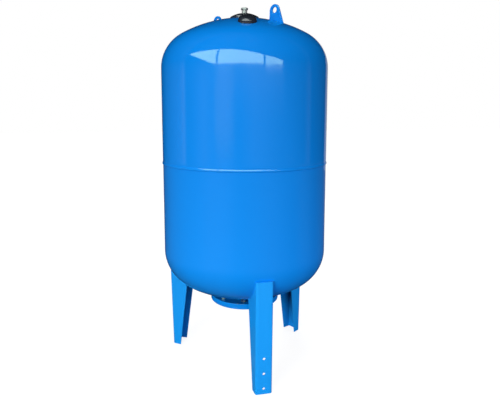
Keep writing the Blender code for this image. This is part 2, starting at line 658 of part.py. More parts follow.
def make_top_fitting():
    """Boss, hanger, washer, lock nut, domed cover and hex plug on the vessel's axis."""
    stem_clear = HANGER_STEM_RADIUS + FIT_GAP
    turned("top_boss", [
        (stem_clear, BOSS_TOP), (TOP_BOSS_RADIUS, BOSS_TOP), (TOP_BOSS_RADIUS, BOSS_BOTTOM),
        (stem_clear, BOSS_BOTTOM),
    ], ROUND_STEPS, BLUE_PAINT)
    head_bottom = HANGER_HEAD_TOP - HANGER_HEAD_THICKNESS
    turned("bladder_hanger", [
        (HANGER_BORE, STEM_TOP), (HANGER_STEM_RADIUS, STEM_TOP), (HANGER_STEM_RADIUS, HANGER_HEAD_TOP),
        (HANGER_HEAD_RADIUS, HANGER_HEAD_TOP), (HANGER_HEAD_RADIUS, head_bottom), (HANGER_BORE, head_bottom),
    ], ROUND_STEPS, ZINC)
    washer_top = WASHER_BOTTOM + HANGER_WASHER_THICKNESS
    turned("hanger_washer", [
        (stem_clear, washer_top), (HANGER_WASHER_RADIUS, washer_top), (HANGER_WASHER_RADIUS, WASHER_BOTTOM),
        (stem_clear, WASHER_BOTTOM),
    ], ROUND_STEPS, ZINC)
    nut = hexagon("hanger_nut", HANGER_NUT_FLATS, HANGER_NUT_BOTTOM, HANGER_NUT_TOP, ZINC)
    combine(nut, prism("hanger_nut_bore", stem_clear, BOSS_TOP, COVER_TOP, ROUND_STEPS, None), "DIFFERENCE")
    make_cover(stem_clear)
    plug_bottom = STEM_TOP + FIT_GAP
    plug = hexagon("top_plug", PLUG_FLATS, plug_bottom, plug_bottom + PLUG_HEAD_HEIGHT, ZINC)
    spigot_bottom = STEM_TOP - PLUG_SPIGOT_LENGTH
    spigot_top = plug_bottom + PLUG_HEAD_HEIGHT / 2
    spigot = prism("plug_spigot", HANGER_BORE - FIT_GAP, spigot_bottom, spigot_top, ROUND_STEPS, None)
    combine(plug, spigot, "UNION")


def dome_arc(top, radius, rim_height, hole, segments):
    """Points of a spherical cap from a hole at its middle out to its rim."""
    rise = top - rim_height
    sphere = (rise**2 + radius**2) / (2 * rise)
    first = math.asin(hole / sphere)
    last = math.asin(radius / sphere)
    angles = [first + (last - first) * i / segments for i in range(segments + 1)]
    return [(sphere * math.sin(a), top - sphere + sphere * math.cos(a)) for a in angles]


def make_cover(stem_clear):
    """The black domed cover: a shell with a short skirt, and a hub that stands on the lock nut."""
    inside = COVER_RADIUS - COVER_WALL
    base = crown_height(inside) + FIT_GAP
    rim = base + COVER_SKIRT
    hub = stem_clear + COVER_HUB_WALL
    outer = dome_arc(COVER_TOP, COVER_RADIUS, rim, stem_clear, COVER_SEGMENTS)
    inner = dome_arc(COVER_ROOF, inside, rim, hub, COVER_SEGMENTS)
    hub_end = HANGER_NUT_TOP + FIT_GAP
    profile = outer + [(COVER_RADIUS, base), (inside, base)] + inner[::-1]
    profile += [(hub, hub_end), (stem_clear, hub_end)]
    turned("top_cover", profile, ROUND_STEPS, BLACK_PLASTIC)


def make_valve():
    """The air valve: boss welded into the head, brass stem, core, sprung pin and dust cap."""
    frame = valve_frame()
    bore = VALVE_SPIGOT_RADIUS + FIT_GAP
    turned("valve_boss", [
        (bore, VALVE_BOSS_STAND), (VALVE_BOSS_RADIUS, VALVE_BOSS_STAND),
        (VALVE_BOSS_RADIUS, -VALVE_BOSS_DEPTH), (bore, -VALVE_BOSS_DEPTH),
    ], ROUND_STEPS, BLUE_PAINT, frame)
    spigot_bottom = VALVE_HEX_BOTTOM - VALVE_SPIGOT_LENGTH
    middle = VALVE_HEX_BOTTOM + VALVE_HEX_HEIGHT / 2
    stem = hexagon("valve_stem", VALVE_HEX_FLATS, VALVE_HEX_BOTTOM, VALVE_HEX_TOP, BRASS, frame)
    spindle = turned("valve_spindle", [
        (0.0, VALVE_STEM_TOP), (VALVE_STEM_RADIUS, VALVE_STEM_TOP), (VALVE_STEM_RADIUS, middle),
        (VALVE_SPIGOT_RADIUS, middle), (VALVE_SPIGOT_RADIUS, spigot_bottom), (0.0, spigot_bottom),
    ], SMALL_STEPS, None, frame)
    combine(stem, spindle, "UNION")
    low = spigot_bottom - VALVE_SPIGOT_LENGTH
    high = VALVE_STEM_TOP + VALVE_SPIGOT_LENGTH
    drill = prism("valve_drill", VALVE_BORE, low, high, SMALL_STEPS, None, frame)
    combine(stem, drill, "DIFFERENCE")
    make_core(frame)
    inside = VALVE_STEM_RADIUS + FIT_GAP
    outside = inside + DUST_CAP_WALL
    roof = DUST_CAP_TOP - DUST_CAP_ROOF
    turned("dust_cap", [
        (0.0, DUST_CAP_TOP), (outside, DUST_CAP_TOP), (outside, DUST_CAP_BOTTOM), (inside, DUST_CAP_BOTTOM),
        (inside, roof), (0.0, roof),
    ], SMALL_STEPS, BLACK_PLASTIC, frame)


def make_core(frame):
    """The valve core's barrel, the pin that slides in it, and the spring that lifts the pin."""
    guide = PIN_RADIUS + FIT_GAP
    shoulder = CORE_BOTTOM + CORE_SHOULDER_LENGTH
    turned("valve_core", [
        (CORE_CHAMBER, CORE_TOP), (CORE_RADIUS, CORE_TOP), (CORE_RADIUS, CORE_BOTTOM), (guide, CORE_BOTTOM),
        (guide, shoulder), (CORE_CHAMBER, shoulder),
    ], SMALL_STEPS, BRASS, frame)
    tip = VALVE_STEM_TOP - PIN_TIP_RECESS
    collar_top = PIN_COLLAR_BOTTOM + PIN_COLLAR_HEIGHT
    seal_top = CORE_BOTTOM - FIT_GAP
    seal_bottom = seal_top - PIN_SEAL_HEIGHT
    turned("valve_pin", [
        (0.0, tip), (PIN_RADIUS, tip), (PIN_RADIUS, collar_top), (PIN_COLLAR_RADIUS, collar_top),
        (PIN_COLLAR_RADIUS, PIN_COLLAR_BOTTOM), (PIN_RADIUS, PIN_COLLAR_BOTTOM), (PIN_RADIUS, seal_top),
        (PIN_SEAL_RADIUS, seal_top), (PIN_SEAL_RADIUS, seal_bottom), (0.0, seal_bottom),
    ], HOLE_STEPS, BRASS, frame)
    low = shoulder + FIT_GAP + SPRING_WIRE_RADIUS
    high = PIN_COLLAR_BOTTOM - FIT_GAP - SPRING_WIRE_RADIUS
    make_spring(low, high, (guide + CORE_CHAMBER - FIT_GAP) / 2, frame)


def make_spring(low, high, radius, frame):
    """A coil spring as one round wire along a helix."""
    curve = bpy.data.curves.new("valve_spring", "CURVE")
    curve.dimensions = "3D"
    curve.bevel_depth = SPRING_WIRE_RADIUS
    curve.bevel_resolution = 0
    curve.use_fill_caps = True
    spline = curve.splines.new("POLY")
    count = SPRING_TURNS * SPRING_POINTS
    spline.points.add(count)
    for i, point in enumerate(spline.points):
        angle = math.tau * i / SPRING_POINTS
        point.co = (radius * math.cos(angle), radius * math.sin(angle), low + (high - low) * i / count, 1.0)
    coil = bpy.data.objects.new("valve_spring", curve)
    coil.matrix_world = frame
    curve.materials.append(ZINC)
    PARTS.objects.link(coil)


def make_cap():
    """The black cap over the valve: a tapered shell, and a sleeve that grips the boss."""
    fall = CROWN_RADIUS - math.sqrt(CROWN_RADIUS**2 - (CAP_RADIUS - CAP_WALL) ** 2)
    base = FIT_GAP - fall
    top = CAP_ROOF + CAP_WALL
    edge = CAP_EDGE_RADIUS
    crown_radius = CAP_SHOULDER_RADIUS - edge
    shoulder = top - CAP_CROWN_RISE - edge
    outer = dome_arc(top, crown_radius, top - CAP_CROWN_RISE, 0.0, BEND_SEGMENTS)
    for i in range(1, BEND_SEGMENTS + 1):
        angle = math.pi / 2 * i / BEND_SEGMENTS
        outer.append((crown_radius + edge * math.sin(angle), shoulder + edge * math.cos(angle)))
    inner_edge = edge - CAP_WALL
    inner = [
        (CAP_SHOULDER_RADIUS - CAP_WALL, shoulder),
        (crown_radius + inner_edge / 2, CAP_ROOF - CAP_CROWN_RISE),
    ]
    sleeve_inside = VALVE_BOSS_RADIUS + FIT_GAP
    sleeve_outside = sleeve_inside + CAP_SLEEVE_WALL
    profile = outer + [(CAP_RADIUS, base), (CAP_RADIUS - CAP_WALL, base)] + inner
    profile += [
        (sleeve_outside, CAP_ROOF), (sleeve_outside, CAP_SLEEVE_STAND), (sleeve_inside, CAP_SLEEVE_STAND),
        (sleeve_inside, CAP_ROOF), (0.0, CAP_ROOF),
    ]
    turned("valve_cap", profile, ROUND_STEPS, BLACK_PLASTIC, valve_frame())


make_upper_shell()
make_lower_shell()
make_girth_weld()
make_legs()
make_lugs()
make_flanges()
make_bolts()
make_socket()
make_bladder()
make_top_fitting()
make_valve()
make_cap()
for part in list(PARTS.objects):
    if part.modifiers:
        settle(part)
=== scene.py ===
# %% [markdown]
# # A blue expansion vessel, dressed for the studio
# An expansion vessel takes up the water that a heating system pushes out when it warms. A steel
# shell stands on three legs, a rubber bladder hangs inside it, and an air cushion sits between the
# two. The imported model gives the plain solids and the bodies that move. This lesson replaces each
# solid by a finer piece with a real finish.

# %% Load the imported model
import math

import bmesh
import bpy
from mathutils import Matrix, Vector


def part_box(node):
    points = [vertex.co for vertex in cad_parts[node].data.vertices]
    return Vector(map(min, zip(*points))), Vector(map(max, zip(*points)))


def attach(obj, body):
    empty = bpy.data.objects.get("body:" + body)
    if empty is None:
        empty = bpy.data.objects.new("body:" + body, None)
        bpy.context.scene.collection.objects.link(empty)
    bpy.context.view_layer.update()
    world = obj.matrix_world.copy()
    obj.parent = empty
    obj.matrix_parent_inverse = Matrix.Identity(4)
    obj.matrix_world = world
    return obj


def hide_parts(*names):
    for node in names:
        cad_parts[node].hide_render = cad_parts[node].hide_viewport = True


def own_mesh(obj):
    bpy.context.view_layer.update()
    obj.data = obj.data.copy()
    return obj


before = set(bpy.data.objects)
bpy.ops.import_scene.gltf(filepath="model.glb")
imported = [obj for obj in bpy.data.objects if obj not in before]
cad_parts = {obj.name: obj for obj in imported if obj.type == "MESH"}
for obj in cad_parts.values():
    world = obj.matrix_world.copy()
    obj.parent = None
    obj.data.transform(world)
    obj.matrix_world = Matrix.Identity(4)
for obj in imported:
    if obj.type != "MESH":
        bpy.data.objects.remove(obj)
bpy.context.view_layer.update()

# %% [markdown]
# ## One way to write node trees
# Materials and Geometry Nodes are both trees of nodes. A small class wraps a socket, so that a sum
# or a product of sockets reads like Python and adds its Math node by itself. Every other node comes
# from one method that takes the node's type, the values or links of its sockets, and its settings.


# %% A socket with arithmetic, and a board of nodes
def operator(operation, reflected=False):
    """A method that adds a Math node, with its two inputs swapped when it is a reflected form."""
    def method(self, other):
        first, second = (other, self) if reflected else (self, other)
        return self.math(operation, first, second)
    return method


class Wire:
    """One output socket, on which arithmetic adds Math nodes."""

    def __init__(self, board, socket):
        self.board = board
        self.socket = socket

    def math(self, operation, first, second=0.0):
        return self.board.node("ShaderNodeMath", {0: first, 1: second}, operation=operation)

    __add__ = __radd__ = operator("ADD")
    __mul__ = __rmul__ = operator("MULTIPLY")
    __sub__, __rsub__ = operator("SUBTRACT"), operator("SUBTRACT", reflected=True)
    __truediv__, __rtruediv__ = operator("DIVIDE"), operator("DIVIDE", reflected=True)
    __gt__ = operator("GREATER_THAN")


class Board:
    """A node tree to which nodes are added one by one."""

    def __init__(self, tree):
        self.tree = tree

    def node(self, kind, sockets=None, output=0, **settings):
        made = self.tree.nodes.new(kind)
        for key, value in settings.items():
            if key == "stops":
                self.set_stops(made.color_ramp.elements, value)
            else:
                setattr(made, key, value)
        for key, value in (sockets or {}).items():
            if isinstance(value, Wire):
                self.feed(made, key, value)
            else:
                made.inputs[key].default_value = value
        return Wire(self, made.outputs[output]) if made.outputs else made

    @staticmethod
    def set_stops(elements, stops):
        """Fills a ramp with grey stops, given as (position, level)."""
        while len(elements) < len(stops):
            elements.new(1.0)
        for element, (position, level) in zip(elements, stops):
            element.position = position
            element.color = (level, level, level, 1.0)

    def feed(self, node, key, wire):
        self.tree.links.new(wire.socket, node.inputs[key])

    def also(self, wire, output):
        """Another output of the node that a wire comes from."""
        return Wire(self, wire.socket.node.outputs[output])


# %% [markdown]
# ## Finishes
# The shell, legs and lugs carry a thick glossy powder coat. Close up, powder coat has an
# orange-peel skin, and a drawn shell is never quite true, so a slow wave bends what it reflects.
# Both are bump on Object coordinates. The gloss is the shader's coat, with its roughness set once
# on the socket. The legs take a paler copy of the blue, which is painted light: it stands in for
# the brighter light that falls on them. The gap under the head and the channels of the legs take a
# dark blue, which is painted shade. Black caps are moulded plastic, the fasteners are zinc plated,
# the plug is dull steel and the valve is turned brass. The studio's window is tinted to suit its
# mirror image on blue, and plastic and steel take that out with a specular tint.


# %% A finish
class Finish(Board):
    """A Principled material with constants on its sockets, and a board for what varies."""

    def __init__(self, name, constants):
        self.material = bpy.data.materials.new(name)
        self.material.use_nodes = True
        super().__init__(self.material.node_tree)
        self.shader = self.tree.nodes["Principled BSDF"]
        for key, value in constants.items():
            self.shader.inputs[key].default_value = value
        self.place = self.node("ShaderNodeTexCoord", output=3)

    def noise(self, scale, detail):
        return self.node("ShaderNodeTexNoise", {
            "Vector": self.place, "Scale": scale, "Detail": detail})

    def streaks(self, stretch, detail):
        """Noise with a scale of its own along each axis."""
        longer = self.node("ShaderNodeMapping", {"Vector": self.place, "Scale": stretch})
        return self.node("ShaderNodeTexNoise", {"Vector": longer, "Scale": 1.0, "Detail": detail})

    def blend(self, share, first, second):
        """A colour between two colours."""
        ends = [(*end, 1.0) if isinstance(end, tuple) else end for end in (first, second)]
        return self.node("ShaderNodeMix", {0: share, 6: ends[0], 7: ends[1]}, output=2,
                         data_type="RGBA")

    def vary(self, colour, rough, height, depth):
        """Links what varies. A bump height from 0 to 1 stands for a depth in metres."""
        normal = self.node("ShaderNodeBump", {
            "Strength": 1.0, "Distance": depth, "Height": height})
        self.feed(self.shader, "Base Color", colour)
        self.feed(self.shader, "Roughness", rough)
        self.feed(self.shader, "Normal", normal)
        return self.material


# %% Blue powder coat
SHELL_BLUE = ((0.002, 0.252, 0.845), (0.0018, 0.238, 0.805))
# The legs' blue is paler than the shell's blue: painted light for the brighter light on the legs.
PAINTED_LIGHT_LEG_BLUE = ((0.0105, 0.335, 0.95), (0.0095, 0.32, 0.91))
# A dark blue laid on as painted shade where the flange sits under the head.
PAINTED_SHADE_BLUE = (0.001, 0.12, 0.37)
SPECK_BLUE = (0.0, 0.09, 0.42)
SPECK_LEVEL = 0.79
SPECK_SHARE = 0.12
PEEL_SHARE = 0.06
PEEL_DEPTH = 0.0001


def blue_powder_coat(name, light, deep, painted_shade=None, shade_colour=PAINTED_SHADE_BLUE):
    """A gloss coat. An optional function gives the share of painted shade at a place."""
    coat = Finish(name, {
        "Roughness": 0.3, "Specular IOR Level": 0.0, "Coat Weight": 1.0, "Coat Roughness": 0.07})
    specks = coat.noise(scale=320.0, detail=0.0) > SPECK_LEVEL
    colour = coat.blend(coat.noise(scale=2.6, detail=3.0), light, deep)
    colour = coat.blend(specks * SPECK_SHARE, colour, SPECK_BLUE)
    if painted_shade is not None:
        colour = coat.blend(painted_shade(coat), colour, shade_colour)
    grain = coat.noise(scale=900.0, detail=1.0)
    peel = coat.noise(scale=240.0, detail=1.0)
    wave = coat.noise(scale=5.0, detail=1.0)
    skin = peel * PEEL_SHARE + wave * (1 - PEEL_SHARE)
    return coat.vary(colour, 0.26 + grain * 0.1, skin, PEEL_DEPTH)


BLUE = blue_powder_coat("blue_powder_coat", *SHELL_BLUE)
# The legs' coat, paler as painted light.
PAINTED_LIGHT_LEG_COAT = blue_powder_coat("pale_blue_powder_coat", *PAINTED_LIGHT_LEG_BLUE)
print("made", BLUE.name, "and", PAINTED_LIGHT_LEG_COAT.name)

# %% Black plastic, zinc, steel, brass and rubber
WINDOW_BALANCE = (1.0, 0.72, 1.0, 1.0)
SCUFF_LEVEL = 0.66


def black_plastic():
    plastic = Finish("black_gloss_plastic", {
        "Roughness": 0.2, "Specular Tint": WINDOW_BALANCE, "Specular IOR Level": 0.6})
    cloud = plastic.noise(scale=60.0, detail=3.0)
    scuffs = plastic.streaks((90.0, 900.0, 300.0), detail=2.0) > SCUFF_LEVEL
    colour = plastic.blend(cloud, (0.015, 0.021, 0.03), (0.022, 0.029, 0.04))
    grain = plastic.noise(scale=700.0, detail=2.0)
    return plastic.vary(colour, 0.1 + cloud * 0.06 + scuffs * 0.1, grain, 0.00001)


def zinc_plate():
    zinc = Finish("zinc_plate", {"Roughness": 0.3, "Metallic": 1.0})
    tint = zinc.noise(scale=45.0, detail=3.0)
    lines = zinc.streaks((60.0, 60.0, 2600.0), detail=2.0)
    colour = zinc.blend(tint, (0.52, 0.545, 0.57), (0.64, 0.635, 0.6))
    return zinc.vary(colour, 0.2 + tint * 0.14 + lines * 0.1, lines, 0.00003)


def dull_steel():
    steel = Finish("dull_steel", {
        "Roughness": 0.45, "Metallic": 0.15, "Specular Tint": WINDOW_BALANCE,
        "Specular IOR Level": 1.0})
    tint = steel.noise(scale=160.0, detail=3.0)
    colour = steel.blend(tint, (0.24, 0.25, 0.26), (0.34, 0.345, 0.35))
    return steel.vary(colour, 0.38 + tint * 0.2, tint, 0.00004)


def turned_brass():
    brass = Finish("turned_brass", {"Roughness": 0.28, "Metallic": 1.0})
    tint = brass.noise(scale=120.0, detail=2.0)
    lines = brass.streaks((200.0, 200.0, 5200.0), detail=1.0)
    colour = brass.blend(tint, (0.74, 0.53, 0.22), (0.60, 0.40, 0.15))
    return brass.vary(colour, 0.2 + lines * 0.16, lines, 0.00001)


def bladder_rubber():
    rubber = Finish("bladder_rubber", {"Roughness": 0.7})
    bloom = rubber.noise(scale=14.0, detail=4.0)
    colour = rubber.blend(bloom, (0.012, 0.012, 0.012), (0.04, 0.039, 0.037))
    return rubber.vary(colour, 0.55 + bloom * 0.25, rubber.noise(scale=500.0, detail=2.0), 0.00008)


BLACK = black_plastic()
ZINC = zinc_plate()
STEEL = dull_steel()
BRASS = turned_brass()
RUBBER = bladder_rubber()
print("made", [m.name for m in (BLACK, ZINC, STEEL, BRASS, RUBBER)])

# %% [markdown]
# ## Making a piece
# Most of the vessel is round, so a profile of (radius, height) points spun about Z does most of the
# work. Real edges are never knife sharp: a third number on a point rounds that corner, and the
# rounding catches the light. Every piece keeps its place in its mesh, with its object at the
# origin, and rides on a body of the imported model.

# %% Helpers for pieces
MERGE = 1e-6
SHARP = math.radians(28.0)
EASE_STEPS = 4
EASE_LIMIT = 0.45


def placed(name, data):
    """A new object in the scene."""
    made = bpy.data.objects.new(name, data)
    bpy.context.scene.collection.objects.link(made)
    return made


def shaded(mesh):
    mesh.shade_smooth()
    mesh.set_sharp_from_angle(angle=SHARP)
    return mesh


def finished(name, form, finish, place=None):
    """A bmesh made into a smooth-shaded object at the origin."""
    mesh = bpy.data.meshes.new(name)
    form.to_mesh(mesh)
    form.free()
    if place is not None:
        mesh.transform(place)
    mesh.materials.append(finish)
    return placed(name, shaded(mesh))


def outward(form):
    bmesh.ops.recalc_face_normals(form, faces=form.faces)
    return form


def eased(points, closed=True, support=0.0):
    """A profile whose corners with a third number are rounded by about that radius.

    A support adds a point on the straight at each side of a rounding, which keeps the shading flat.
    """
    made = []
    count = len(points)
    for i, point in enumerate(points):
        corner = Vector(point[:2])
        ease = point[2] if len(point) > 2 else 0.0
        if not ease or (not closed and i in (0, count - 1)):
            made.append(tuple(corner))
            continue
        back = Vector(points[i - 1][:2]) - corner
        ahead = Vector(points[(i + 1) % count][:2]) - corner
        start = corner + back.normalized() * min(ease, back.length * EASE_LIMIT)
        end = corner + ahead.normalized() * min(ease, ahead.length * EASE_LIMIT)
        if support:
            made.append(tuple(start + back.normalized() * support))
        for k in range(EASE_STEPS + 1):
            t = k / EASE_STEPS
            made.append(tuple(start * (1 - t) ** 2 + corner * (2 * t * (1 - t)) + end * t**2))
        if support:
            made.append(tuple(end + ahead.normalized() * support))
    return made


def spin(points, steps, closed=True):
    """A bmesh of a profile spun about Z. The profile is closed, or open at its ends."""
    form = bmesh.new()
    ring = [form.verts.new((radius, 0.0, height)) for radius, height in eased(points, closed)]
    edges = [form.edges.new(pair) for pair in zip(ring, ring[1:])]
    if closed:
        edges.append(form.edges.new((ring[-1], ring[0])))
    bmesh.ops.spin(form, geom=ring + edges, axis=(0, 0, 1), cent=(0, 0, 0), angle=math.tau,
                   steps=steps, use_merge=True)
    bmesh.ops.remove_doubles(form, verts=form.verts, dist=MERGE)
    return outward(form)


def spun(name, points, steps, finish, place=None, closed=True):
    return finished(name, spin(points, steps, closed), finish, place)


def settled(piece):
    """The piece with its modifiers turned into plain mesh."""
    graph = bpy.context.evaluated_depsgraph_get()
    mesh = bpy.data.meshes.new_from_object(piece.evaluated_get(graph))
    piece.modifiers.clear()
    piece.data = shaded(mesh)
    return piece


def carve(piece, tool, operation="DIFFERENCE"):
    """Cuts, joins or trims a piece with a tool object, which is then removed."""
    modifier = piece.modifiers.new("carve", "BOOLEAN")
    modifier.operation = operation
    modifier.solver = "EXACT"
    modifier.object = tool
    settled(piece)
    bpy.data.objects.remove(tool, do_unlink=True)
    return piece


def drill(radius, low, high, steps, place=None):
    """A round tool on the axis."""
    profile = [(0.0, high), (radius, high), (radius, low), (0.0, low)]
    return spun("drill", profile, steps, BLUE, place, closed=False)


def wear(piece, slot, *nodes, body="vessel"):
    """Puts a finished piece on its body, with the solids that it stands for."""
    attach(piece, body)
    if nodes:
        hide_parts(*nodes)
    print(piece.name, "on", body, "with", len(piece.data.polygons), "faces")


# %% [markdown]
# ## Shell
# Each half of the shell is a drawn torispherical head with a straight skirt: a crown of large
# radius that runs into a knuckle of small radius. The upper skirt slips over the drawn-in rim of
# the lower one, so the upper half is a little larger, and a weld bead runs round under its edge.
# The same head function gives the outer and the inner wall, and later cuts the legs and lugs. A
# gloss coat shows every change of direction, so a ring of points close to each end of a skirt keeps
# the smooth shading straight between them.

# %% Sizes of the shell
VESSEL_RADIUS = 0.3185
SHELL_WALL = 0.0025
CROWN_RADIUS = 0.5025
KNUCKLE_RADIUS = 0.143
UPPER_STRAIGHT = 0.351
LOWER_STRAIGHT = 0.34725
SEAM_STEP = 0.0008
SEAM_LAP = 0.018
FIT_GAP = 0.0003
NECK_RADIUS = 0.095
TOP_BOSS_RADIUS = 0.020
SHELL_STEPS = 216
INNER_STEPS = (8, 8)
SKIRT_RING = 0.008
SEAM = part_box("upper_shell")[0].z
UPPER_TANGENT = SEAM + UPPER_STRAIGHT
LOWER_TANGENT = SEAM - LOWER_STRAIGHT
CENTRE_RUN = VESSEL_RADIUS - KNUCKLE_RADIUS
CROWN_DROP = math.sqrt((CROWN_RADIUS - KNUCKLE_RADIUS) ** 2 - CENTRE_RUN**2)
JOIN_SINE = CENTRE_RUN / (CROWN_RADIUS - KNUCKLE_RADIUS)
APEX = UPPER_TANGENT + CROWN_RADIUS - CROWN_DROP
print("seam at", round(SEAM, 4), "apex at", round(APEX, 4))


def head(tangent, up, offset, opening, crown_steps=16, knuckle_steps=18):
    """Points (radius, height) of a head, from its opening to its tangent line. Up is 1 or -1."""
    crown = CROWN_RADIUS + offset
    knuckle = KNUCKLE_RADIUS + offset
    start = math.asin(opening / crown)
    join = math.asin(JOIN_SINE)
    points = []
    for i in range(crown_steps):
        angle = start + (join - start) * i / crown_steps
        points.append((crown * math.sin(angle), crown * math.cos(angle) - CROWN_DROP))
    for i in range(knuckle_steps + 1):
        angle = join + (math.pi / 2 - join) * i / knuckle_steps
        points.append((CENTRE_RUN + knuckle * math.sin(angle), knuckle * math.cos(angle)))
    return [(radius, tangent + up * rise) for radius, rise in points]


def lower_radius(height):
    """Outer radius of the lower head at a height."""
    drop = LOWER_TANGENT - height
    knuckle = KNUCKLE_RADIUS - SEAM_STEP
    crown = CROWN_RADIUS - SEAM_STEP
    if drop < knuckle * math.sqrt(1 - JOIN_SINE**2):
        return CENTRE_RUN + math.sqrt(knuckle**2 - max(drop, 0.0) ** 2)
    return math.sqrt(crown**2 - (drop + CROWN_DROP) ** 2)


def crown_height(radius):
    """Height of the upper head's crown at a radius."""
    return APEX - CROWN_RADIUS + math.sqrt(CROWN_RADIUS**2 - radius**2)


# %% Upper half shell
VALVE_AZIMUTH = math.radians(-9.8)
VALVE_POSITION = 0.204
VALVE_BOSS_RADIUS = 0.013
VALVE_SLOPE = math.asin(VALVE_POSITION / CROWN_RADIUS)
VALVE = (
    Matrix.Rotation(VALVE_AZIMUTH, 4, "Z")
    @ Matrix.Translation((0.0, -VALVE_POSITION, crown_height(VALVE_POSITION)))
    @ Matrix.Rotation(VALVE_SLOPE, 4, "X")
)
VALVE_DRILL = 0.02
VALVE_HOLE_STEPS = 48
SEAM_EASE = 0.0009


def upper_half():
    opening = TOP_BOSS_RADIUS + FIT_GAP
    outer = head(UPPER_TANGENT, 1.0, 0.0, opening)
    inner = head(UPPER_TANGENT, 1.0, -SHELL_WALL, opening, *INNER_STEPS)
    skirt = [
        (VESSEL_RADIUS, UPPER_TANGENT - SKIRT_RING), (VESSEL_RADIUS, SEAM + SKIRT_RING),
        (VESSEL_RADIUS, SEAM, SEAM_EASE), (VESSEL_RADIUS - SHELL_WALL, SEAM),
    ]
    shell = spun("shell_upper", outer + skirt + inner[::-1], SHELL_STEPS, BLUE)
    return carve(shell, drill(VALVE_BOSS_RADIUS + FIT_GAP, -VALVE_DRILL, VALVE_DRILL,
                              VALVE_HOLE_STEPS, VALVE))


wear(upper_half(), "blue_paint", "upper_shell")

# %% Lower half shell and the weld bead under the seam
JOGGLE = 0.006
BEAD_TOP = SEAM + 0.0004
BEAD_TOE = SEAM - 0.0008
BEAD_CREST = SEAM - 0.0044
BEAD_TURN = SEAM - 0.0084
BEAD_LOW = SEAM - 0.0104
BEAD_TOE_PROUD = 0.0008
BEAD_PROUD = 0.0018
BEAD_TOE_EASE = 0.0005
BEAD_EASE = 0.0007
BEAD_STEPS = 960
BEAD_RIPPLES = 480
RIPPLE_DEPTH = 0.00012


def lower_half():
    opening = NECK_RADIUS + FIT_GAP
    outside = VESSEL_RADIUS - SEAM_STEP
    spigot = VESSEL_RADIUS - SHELL_WALL - FIT_GAP
    outer = head(LOWER_TANGENT, -1.0, -SEAM_STEP, opening)
    inner = head(LOWER_TANGENT, -1.0, -SEAM_STEP - SHELL_WALL, opening, *INNER_STEPS)
    rim = [
        (outside - SHELL_WALL, SEAM - JOGGLE), (spigot - SHELL_WALL, SEAM),
        (spigot - SHELL_WALL, SEAM + SEAM_LAP), (spigot, SEAM + SEAM_LAP), (spigot, SEAM),
        (outside, SEAM - FIT_GAP), (outside, SEAM - SKIRT_RING),
        (outside, LOWER_TANGENT + SKIRT_RING),
    ]
    return spun("shell_lower", inner + rim + outer[::-1], SHELL_STEPS, BLUE)


def girth_bead():
    """A bead with a gentle slope to the upper half and a sharp turn in to the lower one."""
    inside = VESSEL_RADIUS - SEAM_STEP - FIT_GAP
    crest = VESSEL_RADIUS + BEAD_PROUD
    form = spin([
        (inside, BEAD_TOP), (VESSEL_RADIUS, BEAD_TOP),
        (VESSEL_RADIUS + BEAD_TOE_PROUD, BEAD_TOE, BEAD_TOE_EASE),
        (crest, BEAD_CREST, BEAD_EASE), (crest, BEAD_TURN, BEAD_EASE),
        (VESSEL_RADIUS - SEAM_STEP, BEAD_LOW), (inside, BEAD_LOW),
    ], BEAD_STEPS)
    for vert in form.verts:
        share = (vert.co.xy.length - VESSEL_RADIUS) / BEAD_PROUD
        if share > 0:
            angle = math.atan2(vert.co.y, vert.co.x)
            lag = (SEAM - vert.co.z) / (BEAD_TOP - BEAD_LOW) * math.pi
            ripple = RIPPLE_DEPTH * share * math.sin(BEAD_RIPPLES * angle + lag)
            vert.co.xy *= 1 + ripple / VESSEL_RADIUS
    return finished("girth_bead", form, BLUE)


wear(lower_half(), "blue_paint", "lower_shell")
wear(girth_bead(), "blue_paint", "girth_weld")

# %% [markdown]
# ## Geometry Nodes for what repeats
# Bolt holes, leg holes, bolts, grip ribs and weld beads repeat or follow a path, so each is a small
# tree with named inputs. One helper makes the tree's group sockets. Another runs the tree on an
# object and keeps the result as plain mesh.

# %% Helpers for Geometry Nodes
SOCKET_KINDS = {int: "NodeSocketInt", float: "NodeSocketFloat"}


def new_tree(name, sizes):
    """A Geometry Nodes tree with a geometry input and a named input for each size."""
    tree = bpy.data.node_groups.new(name, "GeometryNodeTree")
    for way in ("INPUT", "OUTPUT"):
        tree.interface.new_socket("Geometry", in_out=way, socket_type="NodeSocketGeometry")
    for key, value in sizes.items():
        tree.interface.new_socket(key, in_out="INPUT", socket_type=SOCKET_KINDS[type(value)])
    board = Board(tree)
    start = board.node("NodeGroupInput")
    return board, start, {key: board.also(start, key) for key in sizes}


def close_tree(board, geometry, finish):
    """Ends a tree in real meshes with a material."""
    real = board.node("GeometryNodeRealizeInstances", {"Geometry": geometry})
    painted = board.node("GeometryNodeSetMaterial", {"Geometry": real, "Material": finish})
    board.node("NodeGroupOutput", {"Geometry": painted})
    return board.tree


def grow(piece, tree, sizes):
    """Runs a tree on a piece with these sizes, and keeps the result as plain mesh."""
    modifier = piece.modifiers.new(tree.name, "NODES")
    modifier.node_group = tree
    for item in tree.interface.items_tree:
        if item.in_out == "INPUT" and item.name in sizes:
            modifier[item.identifier] = sizes[item.name]
    return settled(piece)


def punched(board, start, points, punch):
    """The geometry with a hole cut at each point."""
    punches = board.node("GeometryNodeInstanceOnPoints", {
        "Points": points, "Instance": punch})
    tools = board.node("GeometryNodeRealizeInstances", {"Geometry": punches})
    return board.node("GeometryNodeMeshBoolean", {"Mesh 1": start, "Mesh 2": tools},
                      operation="DIFFERENCE", solver="EXACT")


# %% [markdown]
# ## Legs
# A leg is folded from 4 mm sheet: a web that leans out a little, and two flanges that grow deeper
# towards the top, where they are cut to the head's curve and welded to it. The web has a row of
# holes for a foot bracket. The fold is a closed outline lofted from the foot to the top. A tree of
# points punches the holes, and the other two legs are copies.

